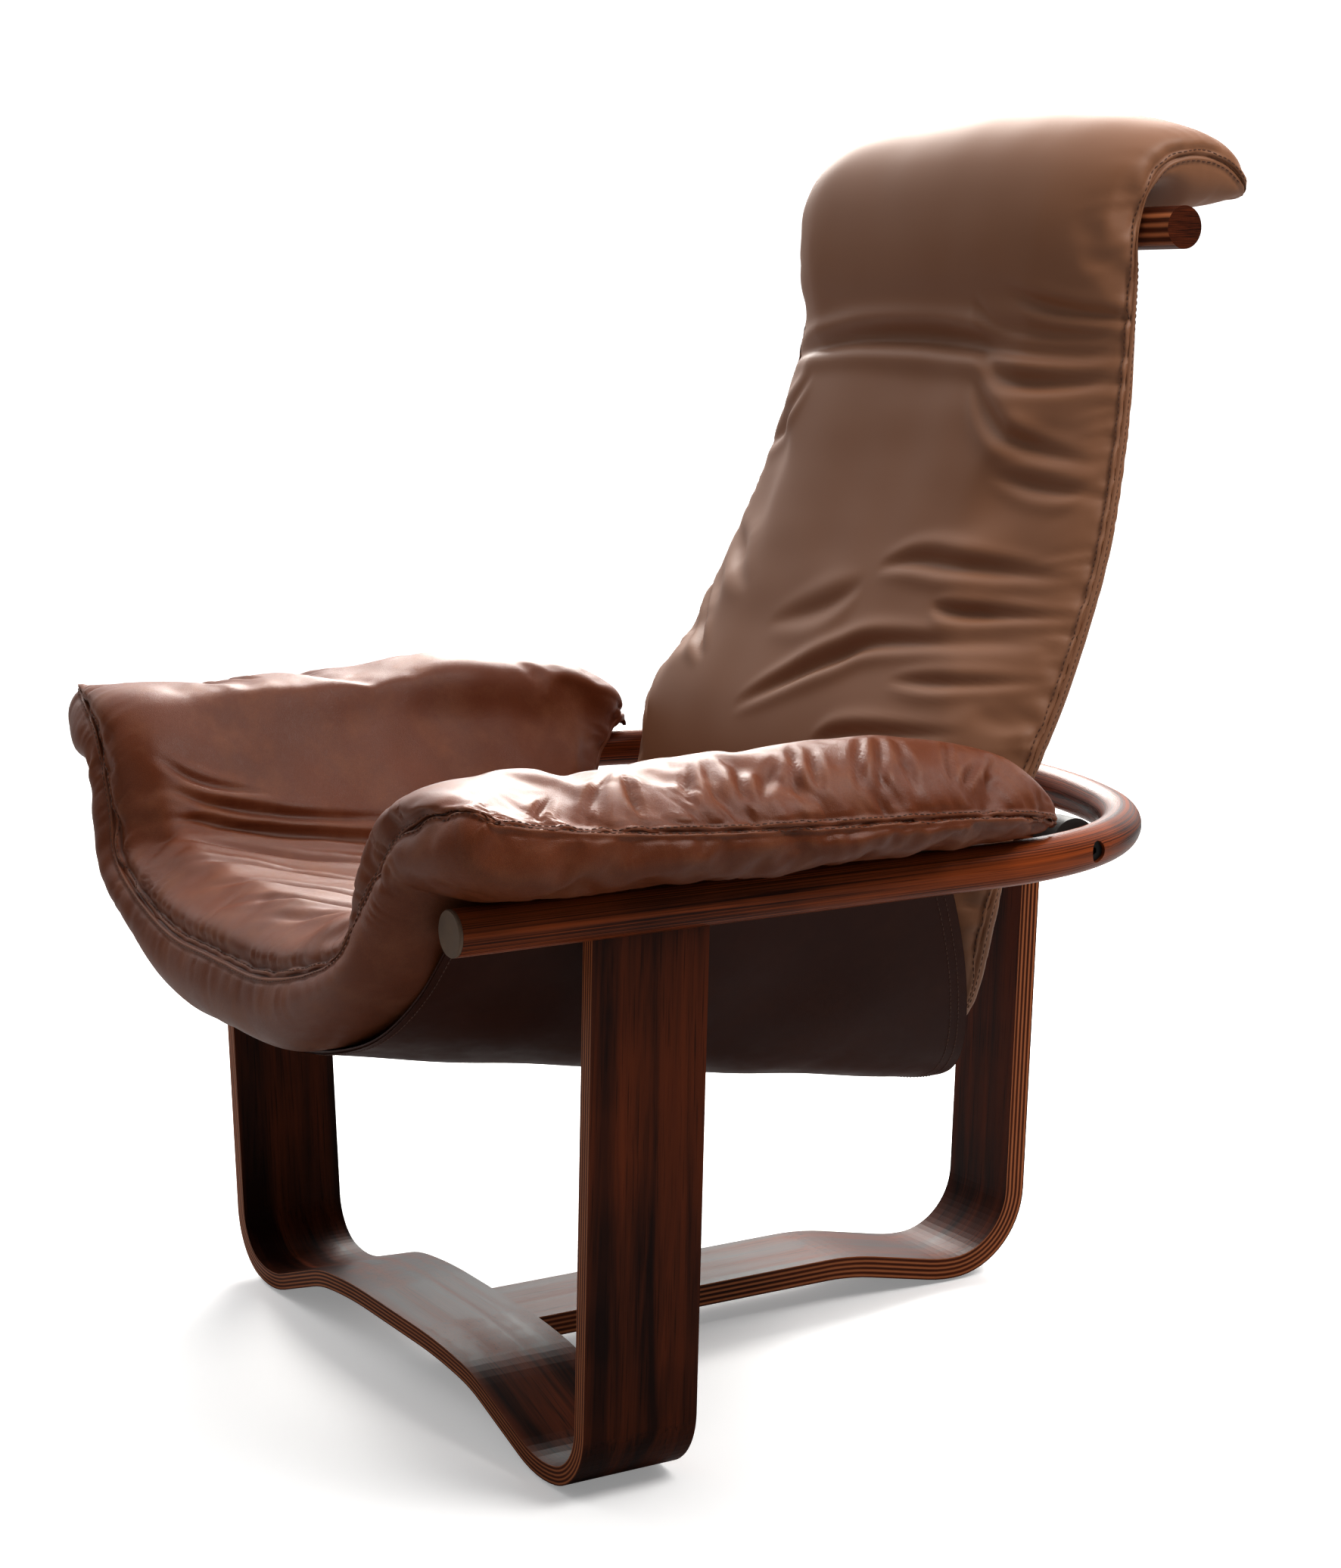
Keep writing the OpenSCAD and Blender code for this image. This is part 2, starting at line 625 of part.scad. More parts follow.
// Cross-section of the right-hand bolster, round from the seat seam over the crest to the outer
// edge, back along the rail and down inside the sling
function bolster_section(y) =
    let (crest = hoop_z + rod_r + arm_rise,
         a = seam_x + 0.4,
         top = seat_high(seam_x, y),
         out = rail_x + arm_overhang)
    [[a, top], [a + 0.27 * (crest - top), top + 0.29 * (crest - top)],
     [a + 0.55 * (crest - top), top + 0.66 * (crest - top)],
     [rail_x - 62, crest - 10], [rail_x - 22, crest], [rail_x + 20, crest - 5],
     [out - 14, crest - 20], [out, arm_edge_z - 8], [out - 5, arm_edge_z - 24],
     [out - 24, rail_top + 9], [rail_x + 18, rail_top + 1], [rail_x - 20, rail_top + 1],
     [hem_inside, rail_top - 14], [hem_inside - 12, seat_low(hem_inside - 12, y) + 8],
     [hem_x - 45, seat_low(hem_x - 45, y) + 1], [hem_x - 80, seat_low(hem_x - 80, y) + 1],
     [hem_x - 110, seat_low(hem_x - 110, y) + 1], [a, seat_low(a, y) + 1]];

function clamped(f) = min(max(f, 0), 1);
function inner_share(y) = sqrt(1 - pow(clamped((y - arm_taper_from) / (arm_inner_end - arm_taper_from)), 3));
function outer_share(y) = sqrt(1 - pow(clamped((y - arm_taper_from) / (arm_tip_y - arm_taper_from)), 2.6));
function front_share(y) = 0.72 + 0.28 * ease((y + arm_front) / 26);

// The section shrinks towards a point on the rail, its inner half first, to clear the back
// cushion; what lies inside the sling shrinks towards a shoulder short of the sling's hem
function bolster_ring(y) =
    let (ki = max(0.05, inner_share(y)) * front_share(y), ko = max(0.05, outer_share(y)) * front_share(y))
    [for (q = bolster_section(y)) let (d = q - arm_tip,
        inside = d[0] < 0 && q[1] < rail_top,
        kx = d[0] < 0 ? ki : ko,
        kz = d[1] > 0 ? ko : 1,
        p = inside ? arm_shoulder + ki * (q - arm_shoulder)
                   : [arm_tip[0] + kx * d[0], arm_tip[1] + kz * d[1]])
        [p[0], y, p[1]]];

arm_rows = concat([for (f = [0, 4, 12, 26]) -arm_front + f],
    [for (y = [-130:40:110]) y], [for (f = [0:9]) arm_taper_from + 4
        + (arm_tip_y - arm_taper_from - 4) * (1 - pow(1 - f / 9, 1.5))]);

module arm_bolster(side) {
    place() mirrored(side) color([0.42, 0.24, 0.15]) loft([for (y = arm_rows) bolster_ring(y)]);
}

// ---- pivots ----------------------------------------------------------------------------------

pivot_head_d = 17;
pivot_head_t = 6;
head_depth = 6;                                  // the head's seat, outside the hoop's centre line
spacer_d = rod_d + 10;
bar_end = pivot_x - rod_r - 22;                  // each end of the lower crossbar
bolt_reach = 36;                                 // length of the bolt inside the crossbar
rub_gap = 0.3;

module pivot_bolt(side) {
    place() mirrored(side) color([0.1, 0.1, 0.1])
    translate([0, pivot_y, hoop_z]) rotate([0, 90, 0]) {
        translate([0, 0, bar_end - bolt_reach])
            cylinder(d = pivot_d, h = pivot_x + head_depth + 1 - bar_end + bolt_reach);
        translate([0, 0, pivot_x + head_depth + fit]) difference() {
            cylinder(d = pivot_head_d, h = pivot_head_t);
            translate([0, 0, 2.5]) cylinder(d = 7, h = pivot_head_t, $fn = 6);
        }
    }
}

module pivot_spacer(side) {
    place() mirrored(side) color([0.08, 0.08, 0.08])
    difference() {
        translate([bar_end + rub_gap, pivot_y, hoop_z]) rotate([0, 90, 0])
            cylinder(d = spacer_d, h = pivot_x - 14 - bar_end);
        hoop_rod(rod_r + fit);
        translate([bar_end - 1, pivot_y, hoop_z]) rotate([0, 90, 0])
            cylinder(d = pivot_d + 2 * fit, h = 3 * rod_r);
    }
}

// ---- back frame --------------------------------------------------------------------------------

low_bar_r = low_bar_d / 2;
head_bar_r = head_bar_d / 2;

module lower_crossbar() {
    place() color([0.27, 0.11, 0.07]) difference() {
        translate([0, pivot_y, hoop_z]) rotate([0, 90, 0])
            cylinder(r = low_bar_r, h = 2 * bar_end, center = true);
        for (s = [-1, 1])
            mirrored(s) translate([bar_end - bolt_reach - 1, pivot_y, hoop_z]) rotate([0, 90, 0])
                cylinder(d = pivot_d + 2 * fit, h = bolt_reach + 2);
        rib_bolt_holes();
    }
}

module head_crossbar() {
    place() color([0.27, 0.11, 0.07]) difference() {
        translate([0, head_y, head_z]) rotate([0, 90, 0])
            cylinder(r = head_bar_r, h = head_bar_len, center = true);
        rib_bolt_holes();
    }
}

// A rib bows back between the two bars; its front face is let 3 mm into each of them
rib_seat = 3;
rib_low_y = pivot_y + low_bar_r - rib_seat + rib_t / 2;
rib_high_y = head_y + head_bar_r - rib_seat + rib_t / 2;
rib_tail = 30;                                   // the rib runs on below the lower crossbar
rib_head_tail = 16;                              // and above the head crossbar
rib_bow = 16;
RIB_N = 20;

function rib_point(f) = [
    rib_low_y + (rib_high_y - rib_low_y) * f + rib_bow * sin(180 * clamped(f)),
    hoop_z + (head_z - hoop_z) * f];
rib_from = -rib_tail / head_bar_rise;
rib_to = 1 + rib_head_tail / head_bar_rise;

function rib_path() = [for (i = [0:RIB_N])
    let (f = rib_from + (rib_to - rib_from) * i / RIB_N,
         p = rib_point(f), q = rib_point(f + 0.01), o = rib_point(f - 0.01), d = q - o)
    [p[0], p[1], atan2(d[1], d[0])]];

// Places its first child at the ribs' lower bolts and its second at their upper ones
module at_rib_bolts() {
    for (s = [-1, 1], e = [0, 1])
        translate([s * rib_gap / 2, e ? head_y : pivot_y, e ? head_z : hoop_z])
            rotate([-90, 0, 0]) children(e);
}

rib_bolt_d = 6;
rib_bolt_head_d = 11;
rib_bolt_head_h = 4;

function bar_r(e) = e ? head_bar_r : low_bar_r;
function head_seat(e) = bar_r(e) + rib_t - rib_seat - 2;   // the bolt heads sit in flats in the ribs

module rib_bolt_hole(e) {
    translate([0, 0, -8]) cylinder(d = rib_bolt_d + 2 * fit, h = 60);
    translate([0, 0, head_seat(e) - fit]) cylinder(d = rib_bolt_head_d + 3, h = 30);
}

module rib_bolt_holes() {
    at_rib_bolts() {
        rib_bolt_hole(0);
        rib_bolt_hole(1);
    }
}

module rib_bolt(e) {
    translate([0, 0, -7]) cylinder(d = rib_bolt_d, h = head_seat(e) + 8);
    translate([0, 0, head_seat(e)]) cylinder(d = rib_bolt_head_d, h = rib_bolt_head_h, $fn = 6);
}

module back_rib(side) {
    place() mirrored(side) color([0.3, 0.13, 0.08]) difference() {
        translate([rib_gap / 2, 0, 0]) rotate([90, 0, 90]) linear_extrude(rib_w, center = true)
            band(rib_path(), rib_t);
        translate([0, pivot_y, hoop_z]) rotate([0, 90, 0])
            cylinder(r = low_bar_r + fit, h = 2 * rail_x, center = true);
        translate([0, head_y, head_z]) rotate([0, 90, 0])
            cylinder(r = head_bar_r + fit, h = 2 * rail_x, center = true);
        rib_bolt_holes();
    }
}

// Hexagon-headed bolts through the ribs into the bars
module rib_bolts() {
    place() color([0.2, 0.19, 0.18]) at_rib_bolts() {
        rib_bolt(0);
        rib_bolt(1);
    }
}

strap_h = 48;
strap_t = 2;
strap_at = [0.2, 0.42, 0.64, 0.84];              // heights of the straps along the ribs

module back_straps() {
    place() color([0.1, 0.09, 0.08]) for (f = strap_at) {
        p = rib_point(f);
        d = rib_point(f + 0.01) - rib_point(f - 0.01);
        translate([0, p[0], p[1]]) rotate([atan2(d[1], d[0]) - 90, 0, 0])
            translate([0, -rib_t / 2 - strap_t / 2 - 0.6, 0])
            cube([rib_gap + rib_w, strap_t, strap_h], center = true);
    }
}

// ---- back cushion --------------------------------------------------------------------------------

back_half = pivot_x - rod_r - back_side_gap;
// The head rows move with the head crossbar when it is set higher or further back
HEAD_BACK = 149;
HEAD_RISE = 503;
function cushion_row(r) =
    let (f = clamped(r[1] / HEAD_RISE))
    [pivot_y + r[0] + (head_bar_back - HEAD_BACK) * f, hoop_z + r[1] + (head_bar_rise - HEAD_RISE) * f,
     back_half - r[2], r[3], r[4]];
back_path = smooth([for (r = cushion_rows) cushion_row(r)], 3);

// Rounded section: half width w, depth f in front of the seam and b behind it
function pillow(w, f, b) = [for (i = [0:RING - 1])
    let (a = 360 * i / RING, c = cos(a), s = sin(a))
    [w * sign(c) * pow(abs(c), 0.62), (s > 0 ? f : b) * sign(s) * pow(abs(s), 0.8)]];

function back_ring(i) =
    let (r = back_path[i], a = back_path[max(i - 1, 0)], c = back_path[min(i + 1, len(back_path) - 1)],
         t = [c[0] - a[0], c[1] - a[1]] / norm([c[0] - a[0], c[1] - a[1]]))
    [for (q = pillow(r[2], r[3], r[4])) [q[0], r[0] - q[1] * t[1], r[1] + q[1] * t[0]]];

module back_cushion() {
    place() color([0.42, 0.24, 0.15]) loft([for (i = [0:len(back_path) - 1]) back_ring(i)]);
}

front_leg();
rear_leg();
leg_joint_bolts();
leg_joint_inserts();
floor_glides();
arm_hoop();
hoop_end_cap(-1);  // hoop_end_cap_left
hoop_end_cap(1);  // hoop_end_cap_right
front_leg_screws();
rear_leg_screws();
hem_rod(-1);  // hem_rod_left
hem_rod(1);  // hem_rod_right
hem_clips(-1);  // hem_clips_left
hem_clips(1);  // hem_clips_right
sling();
seat_cushion();
arm_bolster(-1);  // arm_bolster_left
arm_bolster(1);  // arm_bolster_right
pivot_bolt(-1);  // pivot_bolt_left
pivot_bolt(1);  // pivot_bolt_right
pivot_spacer(-1);  // pivot_spacer_left
pivot_spacer(1);  // pivot_spacer_right
lower_crossbar();
head_crossbar();
back_rib(-1);  // back_rib_left
back_rib(1);  // back_rib_right
rib_bolts();
back_straps();
back_cushion();
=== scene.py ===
"""Recliner armchair: leather cushions, sling and finishes around the packed frame."""

import json
import math

import bpy
import numpy as np
from bpy.props import FloatProperty, FloatVectorProperty, IntProperty, PointerProperty
from mathutils import Matrix, Vector, kdtree


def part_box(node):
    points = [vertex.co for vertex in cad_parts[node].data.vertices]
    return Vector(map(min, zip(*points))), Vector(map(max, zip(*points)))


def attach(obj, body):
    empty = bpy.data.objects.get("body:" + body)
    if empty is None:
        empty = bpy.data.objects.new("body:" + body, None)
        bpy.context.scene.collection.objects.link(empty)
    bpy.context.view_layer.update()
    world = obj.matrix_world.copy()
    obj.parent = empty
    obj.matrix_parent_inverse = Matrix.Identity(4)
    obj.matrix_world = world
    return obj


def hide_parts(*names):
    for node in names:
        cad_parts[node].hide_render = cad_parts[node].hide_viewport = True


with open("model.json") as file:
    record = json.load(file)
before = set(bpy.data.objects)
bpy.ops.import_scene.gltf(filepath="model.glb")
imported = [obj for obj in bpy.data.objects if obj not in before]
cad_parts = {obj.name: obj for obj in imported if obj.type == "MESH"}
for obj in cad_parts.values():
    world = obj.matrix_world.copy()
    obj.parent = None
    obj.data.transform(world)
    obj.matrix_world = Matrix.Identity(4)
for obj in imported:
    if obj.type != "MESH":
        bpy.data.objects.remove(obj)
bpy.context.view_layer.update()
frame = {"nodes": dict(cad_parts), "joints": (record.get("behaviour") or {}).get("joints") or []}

bl_info = {
    "name": "Recliner armchair",
    "version": (1, 0, 0),
    "blender": (4, 5, 0),
    "location": "3D View > Sidebar > Armchair",
    "description": "Leather cushions, sling and finishes of a bentwood recliner armchair",
    "category": "Object",
}

# ---- sizes taken from the frame ----------------------------------------------------------------


def middle(node):
    """Middle of a CAD part's box."""
    low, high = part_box(node)
    return (low + high) / 2


LEG_Y = middle("front_leg").y            # lengths along Y below are counted from the front leg
HOOP_LOW, HOOP_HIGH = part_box("arm_hoop")
ROD_R = (HOOP_HIGH.z - HOOP_LOW.z) / 2
HOOP_Z = (HOOP_HIGH.z + HOOP_LOW.z) / 2
RAIL_X = HOOP_HIGH.x - ROD_R
HOOP_END = HOOP_HIGH.y - ROD_R - LEG_Y   # centre line of the hoop's rear
HEM_X = middle("hem_rod_right").x
HEM_Z = middle("hem_rod_right").z
HEM_ROD_R = (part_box("hem_rod_right")[1].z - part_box("hem_rod_right")[0].z) / 2
PIVOT_Y = frame["joints"][0]["pos_m"][1] - LEG_Y
PIVOT_Z = frame["joints"][0]["pos_m"][2]
SLING_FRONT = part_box("sling")[0].y - LEG_Y
SLING_FLOOR_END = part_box("sling")[1].y - LEG_Y
SEAT_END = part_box("seat_cushion")[1].y - LEG_Y
CREST_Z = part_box("arm_bolster_right")[1].z
ARM_TIP_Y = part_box("arm_bolster_right")[1].y - LEG_Y
BACK_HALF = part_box("back_cushion")[1].x


# ---- sizes that follow the frame's source ------------------------------------------------------

FRONT_BAND_HALF = 0.0075                 # half the thickness of each laminated piece
REAR_BAND_HALF = 0.010
RIB_HALF = 0.006
CORNER_R, CORNER_TURN = 0.26, 68.0       # rear corners of the hoop
SLING_SIDE_END = PIVOT_Y - 0.133         # where the sling's hems end behind
SLING_DROP_FRONT = 0.154                 # below the hoop's centre line
SLING_DROP_REAR = 0.219
SLING_SPAN = 0.44                        # from the front drop to the rear one
SLING_HALF = 0.0015                      # half the leather's thickness, on the hem rods
HEM_GAP = 0.0003                         # between a hem and its rod
SEAT_THICK = 0.108
SEAT_ON_SLING = 0.0035                   # from the sling's middle surface to the cushion


# ---- settings ----------------------------------------------------------------------------------


class StageSettings(bpy.types.PropertyGroup):
    """Floor, lights and camera."""

    lens: FloatProperty(
        name="Lens", description="Focal length on a 36 mm high sensor", default=69.12,
        min=20, max=200, unit="CAMERA")
    camera_at: FloatVectorProperty(
        name="Camera", description="Where the camera stands", size=3,
        default=(2.2721, -1.3187, 0.9196), subtype="TRANSLATION")
    camera_turn: FloatVectorProperty(
        name="View angles", description="Pan from straight ahead, tilt down and roll", size=3,
        default=(math.radians(59.8912), math.radians(9.2259), math.radians(-0.4882)),
        subtype="EULER")
    contrast: FloatProperty(
        name="Gamma", description="Below 1 deepens the shadows", default=0.85, min=0.5, max=1.5)
    floor_size: FloatProperty(
        name="Floor size", description="Width of the square floor", default=60.0, unit="LENGTH")
    floor_colour: FloatVectorProperty(
        name="Floor colour", description="Colour of the floor and of the sky", size=3,
        default=(0.9, 0.9, 0.9), subtype="COLOR", min=0, max=1)
    floor_glow: FloatProperty(
        name="Floor glow", description="Lifts the seen floor to the studio's white", default=0.3)
    bounce: FloatProperty(
        name="Floor bounce", description="How much of its light the floor throws on the chair",
        default=0.45, min=0, max=1)
    sky: FloatProperty(
        name="Bright side", description="Brightness of the studio behind the chair", default=2.2)
    dim: FloatProperty(
        name="Dim side", description="Brightness of the studio behind the viewer", default=0.10)
    bright_side: FloatVectorProperty(
        name="Light from", description="Direction of the studio's bright side", size=3,
        default=(-0.55, 0.33, 0.77), subtype="DIRECTION")
    key: FloatProperty(
        name="Key light", description="Power of the soft light above and behind the chair",
        default=105.0, unit="POWER")
    top: FloatProperty(
        name="Top light", description="Power of the soft light overhead", default=42.0,
        unit="POWER")
    fill: FloatProperty(
        name="Fill light", description="Power of the soft light on the viewer's left",
        default=9.0, unit="POWER")


class LeatherSettings(bpy.types.PropertyGroup):
    """Leather of the cushions and the sling."""

    colour: FloatVectorProperty(
        name="Cushion colour", description="Main colour of the cushions' leather", size=3,
        default=(0.195, 0.050, 0.0155), subtype="COLOR", min=0, max=1)
    worn: FloatVectorProperty(
        name="Worn colour", description="Colour where the leather is rubbed pale", size=3,
        default=(0.36, 0.15, 0.07), subtype="COLOR", min=0, max=1)
    # Painted shade: this colour is laid into the leather's creases, the hollows beside its seams
    # and its grain's crevices
    dark: FloatVectorProperty(
        name="Painted crease shade", description="Colour in the creases and seams", size=3,
        default=(0.05, 0.016, 0.007), subtype="COLOR", min=0, max=1)
    sling: FloatVectorProperty(
        name="Sling colour", description="Colour of the sling's saddle leather", size=3,
        default=(0.055, 0.013, 0.006), subtype="COLOR", min=0, max=1)
    thread: FloatVectorProperty(
        name="Thread colour", description="Colour of the stitching", size=3,
        default=(0.12, 0.05, 0.028), subtype="COLOR", min=0, max=1)
    grain: FloatProperty(
        name="Grain size", description="Width of one pebble of the leather's grain",
        default=0.0011, unit="LENGTH")


class WoodSettings(bpy.types.PropertyGroup):
    """Stained bentwood of the frame."""

    light: FloatVectorProperty(
        name="Light grain", description="Lighter colour of the stained grain", size=3,
        default=(0.150, 0.033, 0.010), subtype="COLOR", min=0, max=1)
    dark: FloatVectorProperty(
        name="Dark grain", description="Darker colour of the stained grain", size=3,
        default=(0.016, 0.0045, 0.003), subtype="COLOR", min=0, max=1)
    ply: FloatVectorProperty(
        name="Ply edge", description="Lighter colour of the plies on the bands' edges", size=3,
        default=(0.48, 0.17, 0.07), subtype="COLOR", min=0, max=1)
    rod: FloatVectorProperty(
        name="Rod colour", description="Lighter colour of the round hoop's grain", size=3,
        default=(0.44, 0.10, 0.024), subtype="COLOR", min=0, max=1)
    plies: IntProperty(
        name="Plies", description="Number of veneers in a band", default=9, min=3, max=20)
    edge_round: FloatProperty(
        name="Rounded edges", description="Radius of the bands' sanded edges",
        default=0.0016, unit="LENGTH")


class SeatSettings(bpy.types.PropertyGroup):
    """Winged seat cushion."""

    pitch: FloatProperty(
        name="Mesh pitch", description="Distance between the cushion's mesh lines",
        default=0.0034, unit="LENGTH")
    top_round: FloatProperty(
        name="Front roll", description="Radius of the roll above the front seam",
        default=0.05, unit="LENGTH")
    box_round: FloatProperty(
        name="Front boxing", description="Radius of the roll below the front seam",
        default=0.06, unit="LENGTH")
    nose_bulge: FloatProperty(
        name="Nose bulge", description="How far the front swells past its seam",
        default=0.014, unit="LENGTH")
    pucker: FloatProperty(
        name="Puckers", description="Depth of the gathers beside the seams",
        default=0.0034, unit="LENGTH")
    seed: IntProperty(name="Seed", description="Choice of the fine wrinkles", default=7)


class BackSettings(bpy.types.PropertyGroup):
    """Back cushion."""

    pitch: FloatProperty(
        name="Mesh pitch", description="Distance between the cushion's mesh lines",
        default=0.0038, unit="LENGTH")
    pucker: FloatProperty(
        name="Puckers", description="Depth of the gathers beside the seams",
        default=0.0030, unit="LENGTH")
    seed: IntProperty(name="Seed", description="Choice of the fine wrinkles", default=21)


class SlingSettings(bpy.types.PropertyGroup):
    """Sling under the seat."""

    thickness: FloatProperty(
        name="Thickness", description="Thickness of the sling's leather", default=0.003,
        unit="LENGTH")


class StitchSettings(bpy.types.PropertyGroup):
    """Seams and stitching."""

    length: FloatProperty(
        name="Stitch", description="Length of one stitch", default=0.0042, unit="LENGTH")
    gap: FloatProperty(
        name="Gap", description="Space between two stitches", default=0.0014, unit="LENGTH")
    thread: FloatProperty(
        name="Thread", description="Thickness of the thread", default=0.0009, unit="LENGTH")
    offset: FloatProperty(
        name="Offset", description="Distance of each row of stitches from its seam",
        default=0.0058, unit="LENGTH")


# ---- curves and grids --------------------------------------------------------------------------

LINE_STEP = 0.001                        # between the points of a dense line
END_ROUND = 0.03                         # length over which a cushion closes at its ends


def ease(f):
    """Quarter circle: 0 at 0, 1 from 1 on, steep at its start."""
    f = np.clip(f, 0, 1)
    return np.sqrt(1 - (1 - f) ** 2)


def smoothstep(f):
    """Soft step: 0 at 0, 1 from 1 on, level at both."""
    f = np.clip(f, 0, 1)
    return f * f * (3 - 2 * f)


def spline_weights(k, count):
    """Catmull-Rom weights of `count` control points at each parameter in k, with free ends."""
    i = np.clip(np.floor(k).astype(int), 0, count - 2)
    f = k - i
    w = np.zeros(k.shape + (count,))
    basis = [
        0.5 * (-f + 2 * f ** 2 - f ** 3),
        0.5 * (2 - 5 * f ** 2 + 3 * f ** 3),
        0.5 * (f + 4 * f ** 2 - 3 * f ** 3),
        0.5 * (-f ** 2 + f ** 3),
    ]
    rows = np.arange(k.size)
    flat = w.reshape(-1, count)
    for offset, b in zip((-1, 0, 1, 2), basis):
        j, value = (i + offset).ravel(), b.ravel()
        low, high = j < 0, j >= count
        inside = ~(low | high)
        np.add.at(flat, (rows[inside], j[inside]), value[inside])
        np.add.at(flat, (rows[low], 0), 2 * value[low])
        np.add.at(flat, (rows[low], 1), -value[low])
        np.add.at(flat, (rows[high], count - 1), 2 * value[high])
        np.add.at(flat, (rows[high], count - 2), -value[high])
    return w


def lengths_along(points):
    """Distance from the first point of a line to each of its points."""
    steps = np.linalg.norm(np.diff(points, axis=0), axis=1)
    return np.concatenate([[0], np.cumsum(steps)])


def spaced_from_ends(total, pitch, fine_start=True, fine_end=True):
    """Places from 0 to total about a pitch apart, closer together beside a seam."""
    fine = np.array([0.0009, 0.0018, 0.0028, 0.0039, 0.0051, 0.0064, 0.008, 0.010])
    low = np.concatenate([[0], fine]) if fine_start else np.array([0.0])
    high = total - np.concatenate([[0], fine])[::-1] if fine_end else np.array([total])
    n = max(2, round((high[0] - low[-1]) / pitch))
    return np.concatenate([low, np.linspace(low[-1], high[0], n + 1)[1:-1], high])


def grid_normals(p):
    """Unit normals of a grid of points, along (down the rows) x (along the columns)."""
    n = np.cross(np.gradient(p, axis=1), np.gradient(p, axis=0))
    return n / np.maximum(np.linalg.norm(n, axis=2, keepdims=True), 1e-9)


def noise_line(rng, length, wave):
    """Random line from -1 to 1, with bumps about a wave apart, one value each line step."""
    n = int(length / LINE_STEP) + 2
    knots = rng.uniform(-1, 1, int(length / (wave / 2)) + 5)
    return np.interp(np.arange(n) * LINE_STEP, np.arange(knots.size) * wave / 2 - wave, knots)


def read_line(values, at):
    """Values of a line that holds one value each line step, at places along it."""
    return np.interp(at, np.arange(values.size) * LINE_STEP, values)


def smooth_line(values, width):
    """Running average of a line over a number of its values."""
    window = np.hanning(width + 2)[1:-1]
    padded = np.pad(values, width, mode="edge")
    return np.convolve(padded, window / window.sum(), "same")[width:-width]


def near_line(points, line, reach):
    """For each point: its distance from a dense line and how far along that line it is nearest.
    Beyond its reach the distance is set to 1 m."""
    tree = kdtree.KDTree(len(line))
    for i, p in enumerate(line):
        tree.insert(p, i)
    tree.balance()
    along = lengths_along(line)
    flat = points.reshape(-1, 3)
    d, t = np.full(len(flat), 1.0), np.zeros(len(flat))
    for i, p in enumerate(flat):
        hit = tree.find(p)
        if hit[2] < reach:
            d[i], t[i] = hit[2], along[hit[1]]
    return d.reshape(points.shape[:-1]), t.reshape(points.shape[:-1])


def sampled(values, along, at):
    """Rows of three values given along a line, read at other places along it."""
    return np.stack([np.interp(at, along, values[:, k]) for k in range(3)], axis=-1)


def dense(line, step=LINE_STEP):
    """The same line with points a step apart."""
    along = lengths_along(line)
    return sampled(line, along, np.arange(0, along[-1], step))


# ---- leather relief ----------------------------------------------------------------------------


def seam_relief(d):
    """Height beside a seam: its groove, a folded lip, then a dip where the stitches pull."""
    groove = -0.0020 * np.exp(-(d / 0.0011) ** 2)
    lip = 0.0012 * np.exp(-((d - 0.0031) / 0.0017) ** 2)
    pull = 0.0006 * np.exp(-((d - 0.0064) / 0.0014) ** 2)
    return groove + lip - pull


def gathers(rng, d, t, length, wave, reach, slant):
    """Gathers that start at a seam: rounded folds with sharp valleys, from about -1 to 0.3."""
    quarter_wave = int(wave * 250)       # in line steps
    fine = smooth_line(noise_line(rng, length + 1, wave), quarter_wave)
    reaches = reach * (0.6 + 0.5 * (1 + noise_line(rng, length + 1, 3 * wave)))
    shift = 0.012 * noise_line(rng, length + 1, 0.09)
    at = np.clip(t + slant * d + read_line(shift, t), 0, length + 0.9)
    fold = np.abs(read_line(fine, at))
    far = read_line(reaches, at)
    fade = smoothstep((d - 0.004) / 0.006) * np.clip(1 - d / far, 0, 1) ** 1.3
    return (1.6 * np.minimum(fold, 0.5) - 0.5) * fade


def crease(a, b, points, width, depth, lip=0.5):
    """Relief of one crease along a smooth line through given points (a, b) on the surface:
    a valley that fades towards both ends, with a soft lip on each side."""
    rows = np.array(points, float)
    k = np.linspace(0, len(rows) - 1, 14 * (len(rows) - 1) + 1)
    line = spline_weights(k, len(rows)) @ rows
    low, high = line.min(0) - 5 * width, line.max(0) + 5 * width
    inside = (a > low[0]) & (a < high[0]) & (b > low[1]) & (b < high[1])
    if not inside.any():
        return np.zeros_like(a)
    p = np.stack([a[inside], b[inside]], axis=1)
    best, share = np.full(len(p), 1e9), np.zeros(len(p))
    for i in range(len(line) - 1):
        v = line[i + 1] - line[i]
        f = np.clip(((p - line[i]) @ v) / max(v @ v, 1e-12), 0, 1)
        d = np.linalg.norm(p - line[i] - f[:, None] * v, axis=1)
        closer = d < best
        best = np.where(closer, d, best)
        share = np.where(closer, (i + f) / (len(line) - 1), share)
    taper = np.sin(math.pi * np.clip(share, 0, 1)) ** 1.1
    w = width * (0.55 + 0.45 * taper)
    relief = taper * depth * (
        -np.exp(-(best / w) ** 2) + lip * np.exp(-((best - 2.1 * w) / (1.2 * w)) ** 2))
    out = np.zeros_like(a)
    out[inside] = relief
    return out


def soft_noise(rng, a, b, wave, waves=9):
    """Smooth random relief over a surface, from about -1 to 1."""
    total = np.zeros_like(a)
    for _ in range(waves):
        turn = rng.uniform(0, 2 * math.pi)
        k = 2 * math.pi / (wave * rng.uniform(0.7, 1.5))
        phase = rng.uniform(0, 2 * math.pi)
        total += np.sin(k * (a * math.cos(turn) + b * math.sin(turn)) + phase)
    return total / math.sqrt(waves)


# ---- meshes ------------------------------------------------------------------------------------


